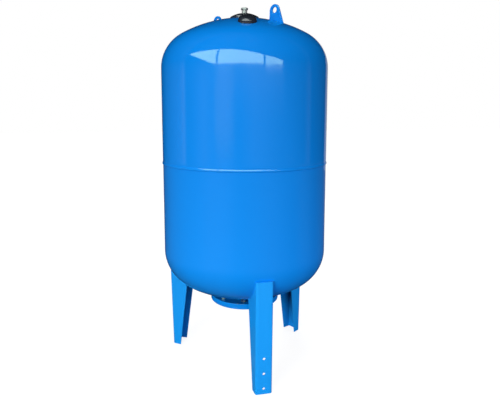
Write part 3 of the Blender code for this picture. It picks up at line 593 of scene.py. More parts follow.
# %% Sizes and shape of a leg
LEG_WIDTH = 0.060
LEG_SHEET = 0.004
LEG_BEND = 0.008
LEG_FOOT_RADIUS = 0.3095
LEG_LEAN = math.radians(1.66)
LEG_FOOT_DEPTH = 0.0345
LEG_FLARE = math.radians(7.4)
LEG_SPLAY = math.radians(5.5)
LEG_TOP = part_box("leg_front")[1].z
LEG_TURNS = {"front": 0.0, "right": math.tau / 3, "left": 2 * math.tau / 3}
SHEET_EASE = 0.0008
SHEET_SUPPORT = 0.0006
print("legs are", round(LEG_TOP, 4), "tall")


def leg_web(height):
    """Distance of the web's outer face from the axis."""
    return LEG_FOOT_RADIUS + height * math.tan(LEG_LEAN)


def leg_edge(height):
    """Distance of the flanges' free edge from the axis."""
    return LEG_FOOT_RADIUS - LEG_FOOT_DEPTH - height * math.tan(LEG_FLARE)


def leg_outline(height):
    """The folded sheet at a height, outer side first. The flanges open towards the vessel."""
    half = LEG_WIDTH / 2
    web, edge = leg_web(height), leg_edge(height)
    wide = half + (web - edge) * math.tan(LEG_SPLAY)
    tip = wide - LEG_SHEET * math.cos(LEG_SPLAY)
    tip_edge = LEG_SHEET * math.sin(LEG_SPLAY) - edge
    inner = half - LEG_SHEET * (1 - math.sin(LEG_SPLAY)) / math.cos(LEG_SPLAY)
    inner_bend = LEG_BEND - LEG_SHEET
    return eased([
        (-wide, -edge, SHEET_EASE), (-half, -web, LEG_BEND),
        (half, -web, LEG_BEND), (wide, -edge, SHEET_EASE),
        (tip, tip_edge, SHEET_EASE), (inner, LEG_SHEET - web, inner_bend),
        (-inner, LEG_SHEET - web, inner_bend), (-tip, tip_edge, SHEET_EASE),
    ], support=SHEET_SUPPORT)


def lofted(form, rows, closed=False):
    """Faces between rows of vertices, which close on themselves or are capped at both ends."""
    if closed:
        rows = rows + rows[:1]
    else:
        form.faces.new(rows[0][::-1])
        form.faces.new(rows[-1])
    for first, second in zip(rows, rows[1:]):
        for j in range(len(first)):
            form.faces.new((first[j - 1], first[j], second[j], second[j - 1]))
    return outward(form)


def leg_form():
    form = bmesh.new()
    rows = [[form.verts.new((x, y, z)) for x, y in leg_outline(z)] for z in (0.0, LEG_TOP)]
    return lofted(form, rows)


# %% Painted shade inside the channel
# A dark blue for painted shade inside the legs' channels.
CHANNEL_SHADE_BLUE = (0.0005, 0.028, 0.12)
SHADE_HEIGHTS = (0.01, 0.15)
SHADE_RADII = (0.278, 0.306)


def height_of(finish):
    return finish.node("ShaderNodeSeparateXYZ", {0: finish.place}, output=2)


def length_of(finish, place):
    return finish.node("ShaderNodeVectorMath", {0: place}, output=1, operation="LENGTH")


def rising(finish, value, low, high):
    """A share that goes from 0 at a low value to 1 at a high one."""
    return finish.node("ShaderNodeMapRange", {0: value, 1: low, 2: high})


def channel_shade_share(finish):
    """Painted shade towards the corners of the channel, and more so near the head."""
    flat = finish.node("ShaderNodeVectorMath", {0: finish.place, 1: (1.0, 1.0, 0.0)},
                       operation="MULTIPLY")
    near_head = rising(finish, height_of(finish), *SHADE_HEIGHTS)
    return near_head * rising(finish, length_of(finish, flat), *SHADE_RADII)


def shade_channel(leg):
    """Gives the faces inside the front leg's channel the coat with painted shade."""
    painted_shade = blue_powder_coat("channel_blue_powder_coat", *PAINTED_LIGHT_LEG_BLUE, channel_shade_share, CHANNEL_SHADE_BLUE)
    leg.data.materials.append(painted_shade)
    for face in leg.data.polygons:
        across = abs(face.center.x)
        flange = across > LEG_WIDTH / 4 and face.normal.x * face.center.x < -across / 2
        web = across < LEG_WIDTH / 2 - LEG_SHEET and face.normal.y > 0.5
        face.material_index = int(flange or web)
    print("channel faces:", sum(face.material_index for face in leg.data.polygons))


# %% Three legs with a row of holes
LEG_HOLES = {"Count": 3, "First": 0.020, "Pitch": 0.056, "Radius": 0.005, "Reach": 0.36}
HOLE_SIDES = 32
WELD_OVERLAP = 0.0002
TOOL_OPENING = 0.004


def head_tool(tangent, up, offset):
    """A solid of the space that a half shell fills."""
    line = head(tangent, up, offset, TOOL_OPENING)
    profile = [(0.0, line[0][1]), *line, (VESSEL_RADIUS + offset, SEAM), (0.0, SEAM)]
    return spun("head_tool", profile, SHELL_STEPS, BLUE, closed=False)


def hole_row_tree():
    board, start, size = new_tree("row_of_leg_holes", LEG_HOLES)
    first = board.node("ShaderNodeCombineXYZ", {
        "Y": size["Reach"] * -0.5, "Z": size["First"]})
    step = board.node("ShaderNodeCombineXYZ", {"Z": size["Pitch"]})
    line = board.node("GeometryNodeMeshLine", {
        "Count": size["Count"], "Start Location": first, "Offset": step})
    punch = board.node("GeometryNodeMeshCylinder", {
        "Vertices": HOLE_SIDES, "Radius": size["Radius"], "Depth": size["Reach"]})
    level = board.node("GeometryNodeTransform", {
        "Geometry": punch, "Rotation": (math.pi / 2, 0.0, 0.0)})
    return close_tree(board, punched(board, start, line, level), PAINTED_LIGHT_LEG_COAT)


def make_legs():
    front = carve(finished("leg_front_channel", leg_form(), PAINTED_LIGHT_LEG_COAT),
                  head_tool(LOWER_TANGENT, -1.0, -SEAM_STEP - WELD_OVERLAP))
    grow(front, hole_row_tree(), LEG_HOLES)
    shade_channel(front)
    wear(front, "blue_paint", "leg_front")
    for side in ("right", "left"):
        mesh = front.data.copy()
        mesh.transform(Matrix.Rotation(LEG_TURNS[side], 4, "Z"))
        wear(placed(f"leg_{side}_channel", mesh), "blue_paint", f"leg_{side}")


make_legs()

# %% [markdown]
# ## Weld beads
# Legs and lugs are welded to the shell. A bead is a round tube along the line where two sheets
# meet, with a ripple for each drop of metal. One tree sweeps it: the path becomes a curve, a circle
# is swept along it, and a sine of the length along the path swells and shrinks the circle.

# %% A tree that sweeps a weld bead along a path
WELD = {"Radius": 0.0022, "Step": 0.0007, "Drop": 0.0032, "Ripple": 0.1}
WELD_SIDES = 12


def weld_tree():
    board, start, size = new_tree("weld_bead", WELD)
    path = board.node("GeometryNodeMeshToCurve", {"Mesh": start})
    path = board.node("GeometryNodeResampleCurve", {"Curve": path, "Length": size["Step"]},
                      mode="LENGTH")
    circle = board.node("GeometryNodeCurvePrimitiveCircle", {
        "Resolution": WELD_SIDES, "Radius": size["Radius"]})
    along = board.node("GeometryNodeSplineParameter", output=1)
    swell = 1 + along.math("SINE", along / size["Drop"] * math.tau) * size["Ripple"]
    bead = board.node("GeometryNodeCurveToMesh", {
        "Curve": path, "Profile Curve": circle, "Scale": swell, "Fill Caps": True})
    return close_tree(board, bead, BLUE)


WELD_TREE = weld_tree()


def weld_beads(name, paths, turn, radius):
    """One piece with a bead along each path of points, turned about the vessel's axis."""
    form = bmesh.new()
    for path in paths:
        verts = [form.verts.new(Matrix.Rotation(turn, 3, "Z") @ Vector(point)) for point in path]
        for pair in zip(verts, verts[1:]):
            form.edges.new(pair)
    piece = grow(finished(name, form, BLUE), WELD_TREE, {**WELD, "Radius": radius})
    wear(piece, "blue_paint")


# %% Welds of the legs
WEB_WELD_RADIUS = 0.0036
WEB_WELD_SINK = 0.6
LEG_WELD_PROUD = 0.0004
LEG_WELD_END = 0.002
WELD_PITCH = 0.001
LONGEST_WELD = 200
SETTLE_ROUNDS = 4
WEB_WELD_STEPS = 40


def leg_weld_paths():
    """Where the outer face of each flange meets the lower head."""
    line = []
    for i in range(LONGEST_WELD):
        height = LEG_TOP - WELD_PITCH * i
        depth = lower_radius(height)
        for _ in range(SETTLE_ROUNDS):
            spread = (leg_web(height) - depth) * math.tan(LEG_SPLAY)
            across = LEG_WIDTH / 2 + spread + LEG_WELD_PROUD
            depth = math.sqrt(lower_radius(height) ** 2 - across**2)
        if depth < leg_edge(height) + LEG_WELD_END:
            break
        line.append((across, -depth, height))
    return [line, [(-x, y, z) for x, y, z in line]]


def web_weld_paths():
    """Along the top of the web, in the gap between it and the lower head."""
    height = LEG_TOP - WEB_WELD_RADIUS * WEB_WELD_SINK
    inner = leg_web(height) - LEG_SHEET
    reach = LEG_WIDTH / 2 - LEG_SHEET
    places = [reach * (2 * i / WEB_WELD_STEPS - 1) for i in range(WEB_WELD_STEPS + 1)]
    outer = [math.sqrt(lower_radius(height) ** 2 - x * x) for x in places]
    return [[(x, -(inner + y) / 2, height) for x, y in zip(places, outer)]]


for side, turn in LEG_TURNS.items():
    weld_beads(f"leg_{side}_weld", leg_weld_paths(), turn, WELD["Radius"])
    weld_beads(f"leg_{side}_web_weld", web_weld_paths(), turn, WEB_WELD_RADIUS)

# %% [markdown]
# ## Lifting lugs
# A lug is a flat plate with a round head and a hole for a shackle, standing on the crown in a plane
# through the vessel's axis. A flat curve with a hole in it, extruded with a small bevel, gives the
# plate its eased edges, and the crown trims its foot.

# %% Shape of a lug
LUG_POSITION = 0.153
LUG_PLATE = 0.006
LUG_INNER_BASE = 0.0235
LUG_OUTER_BASE = 0.0355
LUG_TOP_RADIUS = 0.0222
LUG_HEIGHT = 0.0572
LUG_HOLE_RADIUS = 0.0105
LUG_HOLE_RISE = 0.0021
LUG_EASE = 0.0006
LUG_ROOT = 0.012
LUG_STEPS = 48
LUG_ARC = LUG_HEIGHT - LUG_TOP_RADIUS
LUG_FALL = crown_height(LUG_POSITION) - crown_height(LUG_POSITION + LUG_OUTER_BASE)


def side_lean(base_width):
    """Lean of a lug's side, from its base point to the top arc that it touches."""
    touch = math.acos(LUG_TOP_RADIUS / math.hypot(base_width, LUG_ARC))
    return touch - math.atan2(LUG_ARC, base_width)


def arc_points(radius, rise, start, sweep, count):
    """Points (outward, height, 0) on an arc over the lug's place on the crown."""
    angles = [start + sweep * i / LUG_STEPS for i in range(count)]
    return [(radius * math.cos(a), rise + radius * math.sin(a), 0.0) for a in angles]


def lug_splines():
    """The outline and the hole."""
    root = -LUG_FALL - LUG_ROOT
    inner = side_lean(LUG_INNER_BASE)
    outer = side_lean(LUG_OUTER_BASE)
    outline = [(root * math.tan(inner) - LUG_INNER_BASE, root, 0.0),
               (LUG_OUTER_BASE - root * math.tan(outer), root, 0.0)]
    outline += arc_points(LUG_TOP_RADIUS, LUG_ARC, outer, math.pi - inner - outer, LUG_STEPS + 1)
    return outline, arc_points(LUG_HOLE_RADIUS, LUG_ARC + LUG_HOLE_RISE, 0.0, math.tau, LUG_STEPS)


def swept(splines, closed, merge, **settings):
    """A bmesh of a curve through points, with settings such as its bevel."""
    curve = bpy.data.curves.new("swept", "CURVE")
    for key, value in settings.items():
        setattr(curve, key, value)
    for points in splines:
        spline = curve.splines.new("POLY")
        spline.points.add(len(points) - 1)
        for point, place in zip(spline.points, points):
            point.co = (*place, 1.0)
        spline.use_cyclic_u = closed
    guide = placed("swept", curve)
    graph = bpy.context.evaluated_depsgraph_get()
    form = bmesh.new()
    form.from_mesh(bpy.data.meshes.new_from_object(guide.evaluated_get(graph)))
    bpy.data.objects.remove(guide, do_unlink=True)
    bmesh.ops.remove_doubles(form, verts=form.verts, dist=merge)
    return outward(form)


# %% Lugs and their welds
LUG_AZIMUTH = math.radians(32.8)
LUG_MERGE = MERGE * 10
LUG_WELD_RADIUS = 0.0016
LUG_WELD_PROUD = 0.0003
LUG_WELD_STEPS = 80
LUG_UPRIGHT = Matrix((
    (0, 0, 1, 0), (-1, 0, 0, -LUG_POSITION), (0, 1, 0, crown_height(LUG_POSITION)), (0, 0, 0, 1)))


def lug_plate(name, azimuth):
    form = swept(lug_splines(), True, LUG_MERGE, dimensions="2D", fill_mode="BOTH",
                 extrude=LUG_PLATE / 2 - LUG_EASE, bevel_depth=LUG_EASE, bevel_resolution=2,
                 offset=-LUG_EASE)
    plate = finished(name, form, BLUE, Matrix.Rotation(azimuth, 4, "Z") @ LUG_UPRIGHT)
    return carve(plate, head_tool(UPPER_TANGENT, 1.0, -WELD_OVERLAP))


def lug_weld_paths():
    """Where the two faces of the front lug meet the crown."""
    width = LUG_INNER_BASE + LUG_OUTER_BASE + LUG_FALL * math.tan(side_lean(LUG_OUTER_BASE))
    start = LUG_POSITION - LUG_INNER_BASE
    reach = [start + width * i / LUG_WELD_STEPS for i in range(LUG_WELD_STEPS + 1)]
    face = LUG_PLATE / 2 + LUG_WELD_PROUD
    return [[(x, -y, crown_height(math.hypot(x, y))) for y in reach] for x in (-face, face)]


for side, turn in (("right", LUG_AZIMUTH), ("left", LUG_AZIMUTH + math.pi)):
    wear(lug_plate(f"lug_{side}_plate", turn), "blue_paint", f"lifting_lug_{side}")
    weld_beads(f"lug_{side}_weld", lug_weld_paths(), turn, LUG_WELD_RADIUS)

# %% [markdown]
# ## Bottom flange
# The neck under the lower head carries a flange ring. A thinner counter flange with the water
# socket is bolted against it, and the bladder's lip is squeezed between the two. Both plates are
# spun and punched by one tree, and a second tree sets a bolt, and then a nut, in every hole. Bolts
# stop at any angle, so each is turned at random with a fixed seed.

# %% Flange plates and their bolt holes
FLANGE_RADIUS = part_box("counter_flange")[1].x
FLANGE_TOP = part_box("flange_nut_1")[0].z - FIT_GAP
FLANGE_JOINT, NECK_TOP = (corner.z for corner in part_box("vessel_flange"))
COUNTER_BOTTOM, COUNTER_TOP = (corner.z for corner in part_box("counter_flange"))
NECK_WALL = 0.010
NECK_EASE = 0.001
NECK_FILLET = 0.004
LIP_RECESS = 0.0023
LIP_RADIUS = 0.1003
SOCKET_RADIUS = 0.026
PLATE_EASE = 0.0012
FLANGE_STEPS = 144
PUNCH_LENGTH = 0.08
BOLT_RING = {"Count": 8, "Circle": 0.111, "Phase": math.radians(-105.0), "Radius": 0.0055}


def gap_shade_share(finish):
    """Painted shade in the gap between the flange and the head."""
    return height_of(finish) > FLANGE_TOP - PLATE_EASE / 2


# The flange ring and plate take this coat, with painted shade above the ring's top edge.
GAP_SHADE_BLUE = blue_powder_coat("gap_blue_powder_coat", *SHELL_BLUE, gap_shade_share)


def ring_of_points(board, size, height=0.0):
    """Points on a circle at a height, from a tree's inputs."""
    circle = board.node("GeometryNodeMeshCircle", {
        "Vertices": size["Count"], "Radius": size["Circle"]})
    lift = board.node("ShaderNodeCombineXYZ", {"Z": height})
    turn = board.node("ShaderNodeCombineXYZ", {"Z": size.get("Phase", 0.0)})
    return board.node("GeometryNodeTransform", {
        "Geometry": circle, "Translation": lift, "Rotation": turn})


def hole_ring_tree():
    board, start, size = new_tree("ring_of_bolt_holes", BOLT_RING)
    punch = board.node("GeometryNodeMeshCylinder", {
        "Vertices": HOLE_SIDES, "Radius": size["Radius"], "Depth": PUNCH_LENGTH})
    points = ring_of_points(board, size, FLANGE_JOINT)
    return close_tree(board, punched(board, start, points, punch), GAP_SHADE_BLUE)


def make_flanges():
    bore = NECK_RADIUS - NECK_WALL
    recess = FLANGE_JOINT + LIP_RECESS
    tree = hole_ring_tree()
    ring = spun("neck_flange", [
        (bore, NECK_TOP, NECK_EASE), (NECK_RADIUS, NECK_TOP, NECK_EASE),
        (NECK_RADIUS, FLANGE_TOP, NECK_FILLET), (FLANGE_RADIUS, FLANGE_TOP, PLATE_EASE),
        (FLANGE_RADIUS, FLANGE_JOINT, PLATE_EASE / 2), (LIP_RADIUS, FLANGE_JOINT),
        (LIP_RADIUS, recess), (bore, recess, NECK_EASE),
    ], FLANGE_STEPS, GAP_SHADE_BLUE)
    wear(grow(ring, tree, BOLT_RING), "blue_paint", "vessel_flange")
    hole = SOCKET_RADIUS + FIT_GAP
    plate = spun("bottom_plate", [
        (hole, COUNTER_TOP), (FLANGE_RADIUS, COUNTER_TOP, PLATE_EASE / 2),
        (FLANGE_RADIUS, COUNTER_BOTTOM, PLATE_EASE), (hole, COUNTER_BOTTOM),
    ], FLANGE_STEPS, GAP_SHADE_BLUE)
    wear(grow(plate, tree, BOLT_RING), "blue_paint", "counter_flange")


make_flanges()

# %% [markdown]
# ## Screw threads
# A thread is a ridge that climbs one pitch a turn. On a grid of angles and heights, the radius
# follows the fraction of the pitch that the point has climbed. The ridge fades at both ends, as a
# die leaves it.

# %% Plain and threaded walls
ROWS_PER_PITCH = 6
RIDGE_TOP = 1.35
RIDGE_SLOPE = 3.4


def thread(core, crest, pitch, low, high, steps):
    """Rows (radii round the axis, height) of a thread from low to high."""
    count = max(2, int((high - low) / pitch * ROWS_PER_PITCH))
    rows = []
    for i in range(count + 1):
        height = low + (high - low) * i / count
        fade = min(1.0, (height - low) / pitch, (high - height) / pitch)
        radii = []
        for j in range(steps):
            climb = (height / pitch - j / steps) % 1.0
            ridge = min(1.0, max(0.0, RIDGE_TOP - abs(climb - 0.5) * RIDGE_SLOPE)) * fade
            radii.append(core + (crest - core) * ridge)
        rows.append((radii, height))
    return rows


def wall(rows, steps, closed=True):
    """A bmesh of a wall through rows, of which a plain one has a single radius."""
    form = bmesh.new()
    turns = [Vector((math.cos(math.tau * j / steps), math.sin(math.tau * j / steps), 0.0))
             for j in range(steps)]
    rings = []
    for radii, height in rows:
        if isinstance(radii, float):
            radii = [radii] * steps
        rings.append([form.verts.new((r * t.x, r * t.y, height)) for r, t in zip(radii, turns)])
    return lofted(form, rings, closed)


# %% A flange bolt and its nut
BOLT_RADIUS = 0.005
BOLT_CORE = 0.00425
BOLT_PITCH = 0.0015
BOLT_HEAD = 0.0064
BOLT_END = 0.003
BOLT_POINT = 0.0006
BOLT_STEPS = 24
SHANK_END = 0.004
SHANK_EASE = 0.0002
THREAD_START = 0.0035
HEX_FLATS = 0.017
HEX_FACE = 0.96
HEX_SLOPE = math.tan(math.radians(30.0))
HEX_STEPS = 72
LATHE_ROOM = 1.1
NUT_LOW = FLANGE_TOP + FIT_GAP
NUT_HIGH = NUT_LOW + 0.0084
NUT_DRILL = 0.01


def hex_form(flats, low, high, both_ends=True):
    """A hexagonal prism whose corners are turned off at its lower end, or at both ends."""
    corner = flats / 2 / math.cos(math.pi / 6)
    face = flats / 2 * HEX_FACE
    wide = corner * LATHE_ROOM
    rise = (wide - face) * HEX_SLOPE
    form = bmesh.new()
    bmesh.ops.create_cone(form, cap_ends=True, segments=6, radius1=corner, radius2=corner,
                          depth=high - low, matrix=Matrix.Translation((0.0, 0.0, (low + high) / 2)))
    top = [(face, high), (wide, high - rise)] if both_ends else [(wide, high)]
    profile = [(0.0, high), *top, (wide, low + rise), (face, low), (0.0, low)]
    lathe = spun("hexagon_lathe", profile, HEX_STEPS, ZINC, closed=False)
    return carve(finished("hexagon", form, ZINC), lathe, "INTERSECT")


def joined(name, pieces, finish, place=None):
    """One object that holds several pieces' meshes."""
    form = bmesh.new()
    for piece in pieces:
        form.from_mesh(piece.data)
        bpy.data.objects.remove(piece, do_unlink=True)
    return finished(name, form, finish, place)


def flange_nut():
    nut = hex_form(HEX_FLATS, NUT_LOW, NUT_HIGH)
    return carve(nut, drill(BOLT_RADIUS + FIT_GAP, NUT_LOW - NUT_DRILL, NUT_HIGH + NUT_DRILL,
                            BOLT_STEPS))


def flange_bolt():
    """A hex bolt from below, upright on the axis."""
    head_top = COUNTER_BOTTOM - FIT_GAP
    shank_low = head_top - BOLT_HEAD / 2
    tip = NUT_HIGH + BOLT_END
    rows = [(BOLT_CORE, shank_low), (BOLT_RADIUS, shank_low + SHANK_EASE),
            (BOLT_RADIUS, NUT_LOW - SHANK_END)]
    rows += thread(BOLT_CORE, BOLT_RADIUS, BOLT_PITCH, NUT_LOW - THREAD_START, tip - BOLT_POINT,
                   BOLT_STEPS)
    rows.append((BOLT_CORE - BOLT_POINT, tip))
    hexagon = hex_form(HEX_FLATS, head_top - BOLT_HEAD, head_top, both_ends=False)
    shank = finished("bolt_shank", wall(rows, BOLT_STEPS, closed=False), ZINC)
    return joined("bolt_pattern", [hexagon, shank], ZINC)


# %% A tree that sets a bolt or a nut in every hole
BOLT_PLACES = {key: BOLT_RING[key] for key in ("Count", "Circle", "Phase")} | {"Seed": 11}


def bolt_tree(pattern):
    board, _, size = new_tree("ring_of_bolts", BOLT_PLACES)
    source = board.node("GeometryNodeObjectInfo", {"Object": pattern}, output=4)
    spread = board.node("FunctionNodeRandomValue", {3: math.tau / 6, "Seed": size["Seed"]},
                        output=1, data_type="FLOAT")
    spins = board.node("ShaderNodeCombineXYZ", {"Z": spread})
    bolts = board.node("GeometryNodeInstanceOnPoints", {
        "Points": ring_of_points(board, size), "Instance": source, "Rotation": spins})
    return close_tree(board, bolts, ZINC)


for kind, pattern in (("bolt", flange_bolt()), ("nut", flange_nut())):
    ring = grow(finished(f"flange_{kind}s", bmesh.new(), ZINC), bolt_tree(pattern), BOLT_PLACES)
    bpy.data.objects.remove(pattern, do_unlink=True)
    wear(ring, "zinc", *[f"flange_{kind}_{i + 1}" for i in range(BOLT_RING["Count"])])

# %% [markdown]
# ## Water socket and bladder
# The water pipe screws into a short socket with an inside thread. Above it hangs the bladder, a
# rubber bag with a thick lip. It shows only through the socket, but it is the heart of the vessel,
# so it is made whole.

# %% Water socket
SOCKET_BORE = 0.0195
SOCKET_PITCH = 0.0023
SOCKET_THREAD = 0.0014
SOCKET_MOUTH = 0.001
SOCKET_EASE = 0.0005
SOCKET_CHAMFER = 0.002
SOCKET_STEPS = 96
SOCKET_LOW, SOCKET_HIGH = (corner.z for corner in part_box("water_socket"))
THREAD_END = SOCKET_HIGH - 0.006


def water_socket():
    root = SOCKET_BORE + SOCKET_THREAD
    rows = thread(root, SOCKET_BORE, SOCKET_PITCH, SOCKET_LOW + SOCKET_MOUTH, THREAD_END,
                  SOCKET_STEPS)
    rows += [
        (SOCKET_BORE, THREAD_END + SOCKET_MOUTH), (SOCKET_BORE, SOCKET_HIGH - SOCKET_EASE),
        (SOCKET_BORE + SOCKET_EASE, SOCKET_HIGH), (SOCKET_RADIUS - SOCKET_EASE, SOCKET_HIGH),
        (SOCKET_RADIUS, SOCKET_HIGH - SOCKET_EASE), (SOCKET_RADIUS, SOCKET_LOW + SOCKET_CHAMFER),
        (SOCKET_RADIUS - SOCKET_CHAMFER, SOCKET_LOW), (root + SOCKET_MOUTH, SOCKET_LOW),
    ]
    return finished("socket_threaded", wall(rows, SOCKET_STEPS), ZINC)


wear(water_socket(), "zinc", "water_socket")

# %% Bladder
BLADDER_WALL = 0.002
BLADDER_BELLY = 0.231
BLADDER_NECK = 0.0847
BLADDER_NECK_TOP = 0.2805
BLADDER_SHOULDER = 0.5805
BLADDER_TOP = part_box("bladder")[1].z
BLADDER_LIP = 0.1000
LIP_TOP = FLANGE_JOINT + BLADDER_WALL + 0.0001
LIP_RISE = 0.0004
BLADDER_STEPS = 96
DOME_STEPS = 32
WAIST_STEPS = 24
COLLAR_RADIUS = 0.036
STEM_RADIUS = 0.01045


def bladder():
    """The bag's outer line, spun and thickened inwards by its wall."""
    line = [(STEM_RADIUS + FIT_GAP, BLADDER_TOP)]
    for i in range(DOME_STEPS + 1):
        angle = math.pi / 2 * (1 - i / DOME_STEPS)
        line.append((COLLAR_RADIUS + (BLADDER_BELLY - COLLAR_RADIUS) * math.cos(angle),
                     BLADDER_SHOULDER + (BLADDER_TOP - BLADDER_SHOULDER) * math.sin(angle)))
    for i in range(1, WAIST_STEPS + 1):
        share = i / WAIST_STEPS
        waist = (1 - math.cos(math.pi * share)) / 2
        line.append((BLADDER_BELLY + (BLADDER_NECK - BLADDER_BELLY) * waist,
                     BLADDER_SHOULDER + (BLADDER_NECK_TOP - BLADDER_SHOULDER) * share))
    line += [(BLADDER_NECK, LIP_TOP + LIP_RISE), (BLADDER_LIP, LIP_TOP)]
    bag = spun("bladder_bag", line, BLADDER_STEPS, RUBBER, closed=False)
    modifier = bag.modifiers.new("wall", "SOLIDIFY")
    modifier.thickness = BLADDER_WALL
    modifier.offset = -1.0
    modifier.use_even_offset = True
    return settled(bag)


wear(bladder(), "rubber", "bladder")

# %% [markdown]
# ## Top fitting
# The bladder hangs on a hollow threaded stem. A lock nut and washer hold the stem in its boss, a
# glossy black cover hides them, and a hex plug closes the stem. Only the stem's top, the cover and
# the plug show.

# %% Stem
STEM_BORE = 0.00805
STEM_LOW, STEM_TOP = (corner.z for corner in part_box("bladder_hanger"))
STEM_PITCH = 0.0015
STEM_THREAD = 0.0009
STEM_PLAIN = 0.012
STEM_EASE = 0.0003
STEM_STEPS = 48
HANGER_RADIUS = 0.030
HANGER_THICKNESS = 0.005
HANGER_EASE = 0.001


def stem_piece():
    core = STEM_RADIUS - STEM_THREAD
    head_top = STEM_LOW + HANGER_THICKNESS
    thread_top = STEM_TOP - STEM_PLAIN
    rows = [
        (STEM_BORE, STEM_TOP), (STEM_BORE, STEM_LOW), (HANGER_RADIUS - HANGER_EASE, STEM_LOW),
        (HANGER_RADIUS, STEM_LOW + HANGER_EASE), (HANGER_RADIUS, head_top - HANGER_EASE),
        (HANGER_RADIUS - HANGER_EASE, head_top), (core, head_top),
    ]
    rows += thread(core, STEM_RADIUS, STEM_PITCH, head_top + HANGER_EASE, thread_top, STEM_STEPS)
    rows += [(STEM_RADIUS, thread_top + STEM_THREAD), (STEM_RADIUS, STEM_TOP - STEM_EASE)]
    return finished("hanger_stem", wall(rows, STEM_STEPS), STEEL)


wear(stem_piece(), "zinc", "bladder_hanger")

# %% Cover and plug
COVER_RADIUS = 0.055
COVER_WALL = 0.0025
COVER_SKIRT = 0.0095
COVER_TOP = APEX + 0.0224
COVER_HUB = 0.01375
COVER_HOLE_EASE = 0.0008
COVER_RIM_EASE = 0.0014
COVER_FOOT_EASE = 0.0006
COVER_STEPS = 120
COVER_ARC_STEPS = (22, 10)
PLUG_FLATS = 0.024
PLUG_TURN = math.radians(17.4)
SPIGOT_ROOT = 0.004
SPIGOT_DEPTH = 0.0095
PLUG_SPIGOT_EASE = 0.0008
DIMPLE_RADII = (0.0066, 0.0052)
DIMPLE_RISE = 0.001
DIMPLE_DEPTH = 0.0016
DIMPLE_EASE = 0.0006
PLUG_STEPS = 36


def dome(top, radius, rim, hole, steps):
    """Points of a spherical cap from a hole at its middle out to its rim."""
    rise = top - rim
    sphere = (rise**2 + radius**2) / (2 * rise)
    first = math.asin(hole / sphere)
    last = math.asin(radius / sphere)
    angles = [first + (last - first) * i / steps for i in range(steps + 1)]
    return [(sphere * math.sin(a), top - sphere + sphere * math.cos(a)) for a in angles]


def cover_piece():
    """The domed cover, with soft edges at its rim and at its middle hole."""
    inside = COVER_RADIUS - COVER_WALL
    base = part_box("top_cover")[0].z
    rim = base + COVER_SKIRT
    hole = STEM_RADIUS + FIT_GAP
    hub_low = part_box("hanger_nut")[1].z + FIT_GAP
    outer = dome(COVER_TOP, COVER_RADIUS, rim, hole, COVER_ARC_STEPS[0])
    outer[0] = (*outer[0], COVER_HOLE_EASE)
    outer[-1] = (*outer[-1], COVER_RIM_EASE)
    inner = dome(COVER_TOP - COVER_WALL, inside, rim, COVER_HUB, COVER_ARC_STEPS[1])
    foot = [(COVER_RADIUS, base, COVER_FOOT_EASE), (inside, base, COVER_FOOT_EASE)]
    hub = [(COVER_HUB, hub_low), (hole, hub_low)]
    return spun("cover_dome", outer + foot + inner[::-1] + hub, COVER_STEPS, BLACK)


def plug_piece():
    low = STEM_TOP + FIT_GAP
    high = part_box("top_plug")[1].z
    spigot = STEM_BORE - FIT_GAP
    spigot_low = STEM_TOP - SPIGOT_DEPTH
    wide, narrow = DIMPLE_RADII
    hexagon = hex_form(PLUG_FLATS, low, high)
    carve(hexagon, spun("plug_spigot", [
        (0.0, low + SPIGOT_ROOT), (spigot, low + SPIGOT_ROOT),
        (spigot, spigot_low, PLUG_SPIGOT_EASE), (0.0, spigot_low),
    ], PLUG_STEPS, ZINC, closed=False), "UNION")
    carve(hexagon, spun("plug_dimple", [
        (0.0, high + DIMPLE_RISE), (wide, high + DIMPLE_RISE),
        (narrow, high - DIMPLE_DEPTH, DIMPLE_EASE), (0.0, high - DIMPLE_DEPTH),
    ], PLUG_STEPS, ZINC, closed=False))
    return joined("stem_plug", [hexagon], STEEL, Matrix.Rotation(PLUG_TURN, 4, "Z"))


wear(cover_piece(), "black_plastic", "top_cover")
wear(plug_piece(), "zinc", "top_plug")

# %% Pieces under the cover keep their solids and get a finish
for node, finish in (("top_boss", BLUE), ("hanger_washer", ZINC), ("hanger_nut", ZINC)):
    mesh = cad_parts[node].data
    mesh.materials.clear()
    mesh.materials.append(finish)
    print(node, "gets", finish.name)

# %% [markdown]
# ## Air valve
# Air is pumped in through a small valve that stands square to the crown. A steel boss is welded
# into the shell, a brass stem screws into it, and a sprung pin inside the stem opens when it is
# pressed. A ribbed dust cap closes the stem, and the large black cap covers everything. All of it
# is made upright and then placed by the valve's own matrix.

# %% Boss and stem
BOSS_STAND = 0.0025
BOSS_DEPTH = 0.008
BOSS_TOP_EASE = 0.0012
BOSS_LOW_EASE = 0.0006
BOSS_STEPS = 64
SPIGOT_RADIUS = 0.00487
SPIGOT_EASE = 0.0004
VALVE_HEX_FLATS = 0.014
VALVE_HEX_LOW = 0.0028
VALVE_HEX_HIGH = 0.0058
SPIGOT_LOW = VALVE_HEX_LOW - 0.010
SPIGOT_TOP = VALVE_HEX_LOW + 0.002
SPIGOT_STEP = 0.0001
VALVE_STEM_RADIUS = 0.00385
VALVE_STEM_CORE = 0.0034
VALVE_STEM_TOP = 0.0096
VALVE_THREAD_LOW = VALVE_HEX_HIGH - 0.0005
VALVE_THREAD_HIGH = VALVE_STEM_TOP - 0.0002
VALVE_LIP = 0.0003
VALVE_BORE = 0.0027
VALVE_BORE_ROOM = 0.0004
VALVE_PITCH = 0.0008
VALVE_STEPS = 32
STEM_DRILL = 0.03


def boss_piece():
    bore = SPIGOT_RADIUS + FIT_GAP
    return spun("air_boss", [
        (bore, BOSS_STAND), (VALVE_BOSS_RADIUS, BOSS_STAND, BOSS_TOP_EASE),
        (VALVE_BOSS_RADIUS, -BOSS_DEPTH, BOSS_LOW_EASE), (bore, -BOSS_DEPTH),
    ], BOSS_STEPS, BLUE, VALVE)


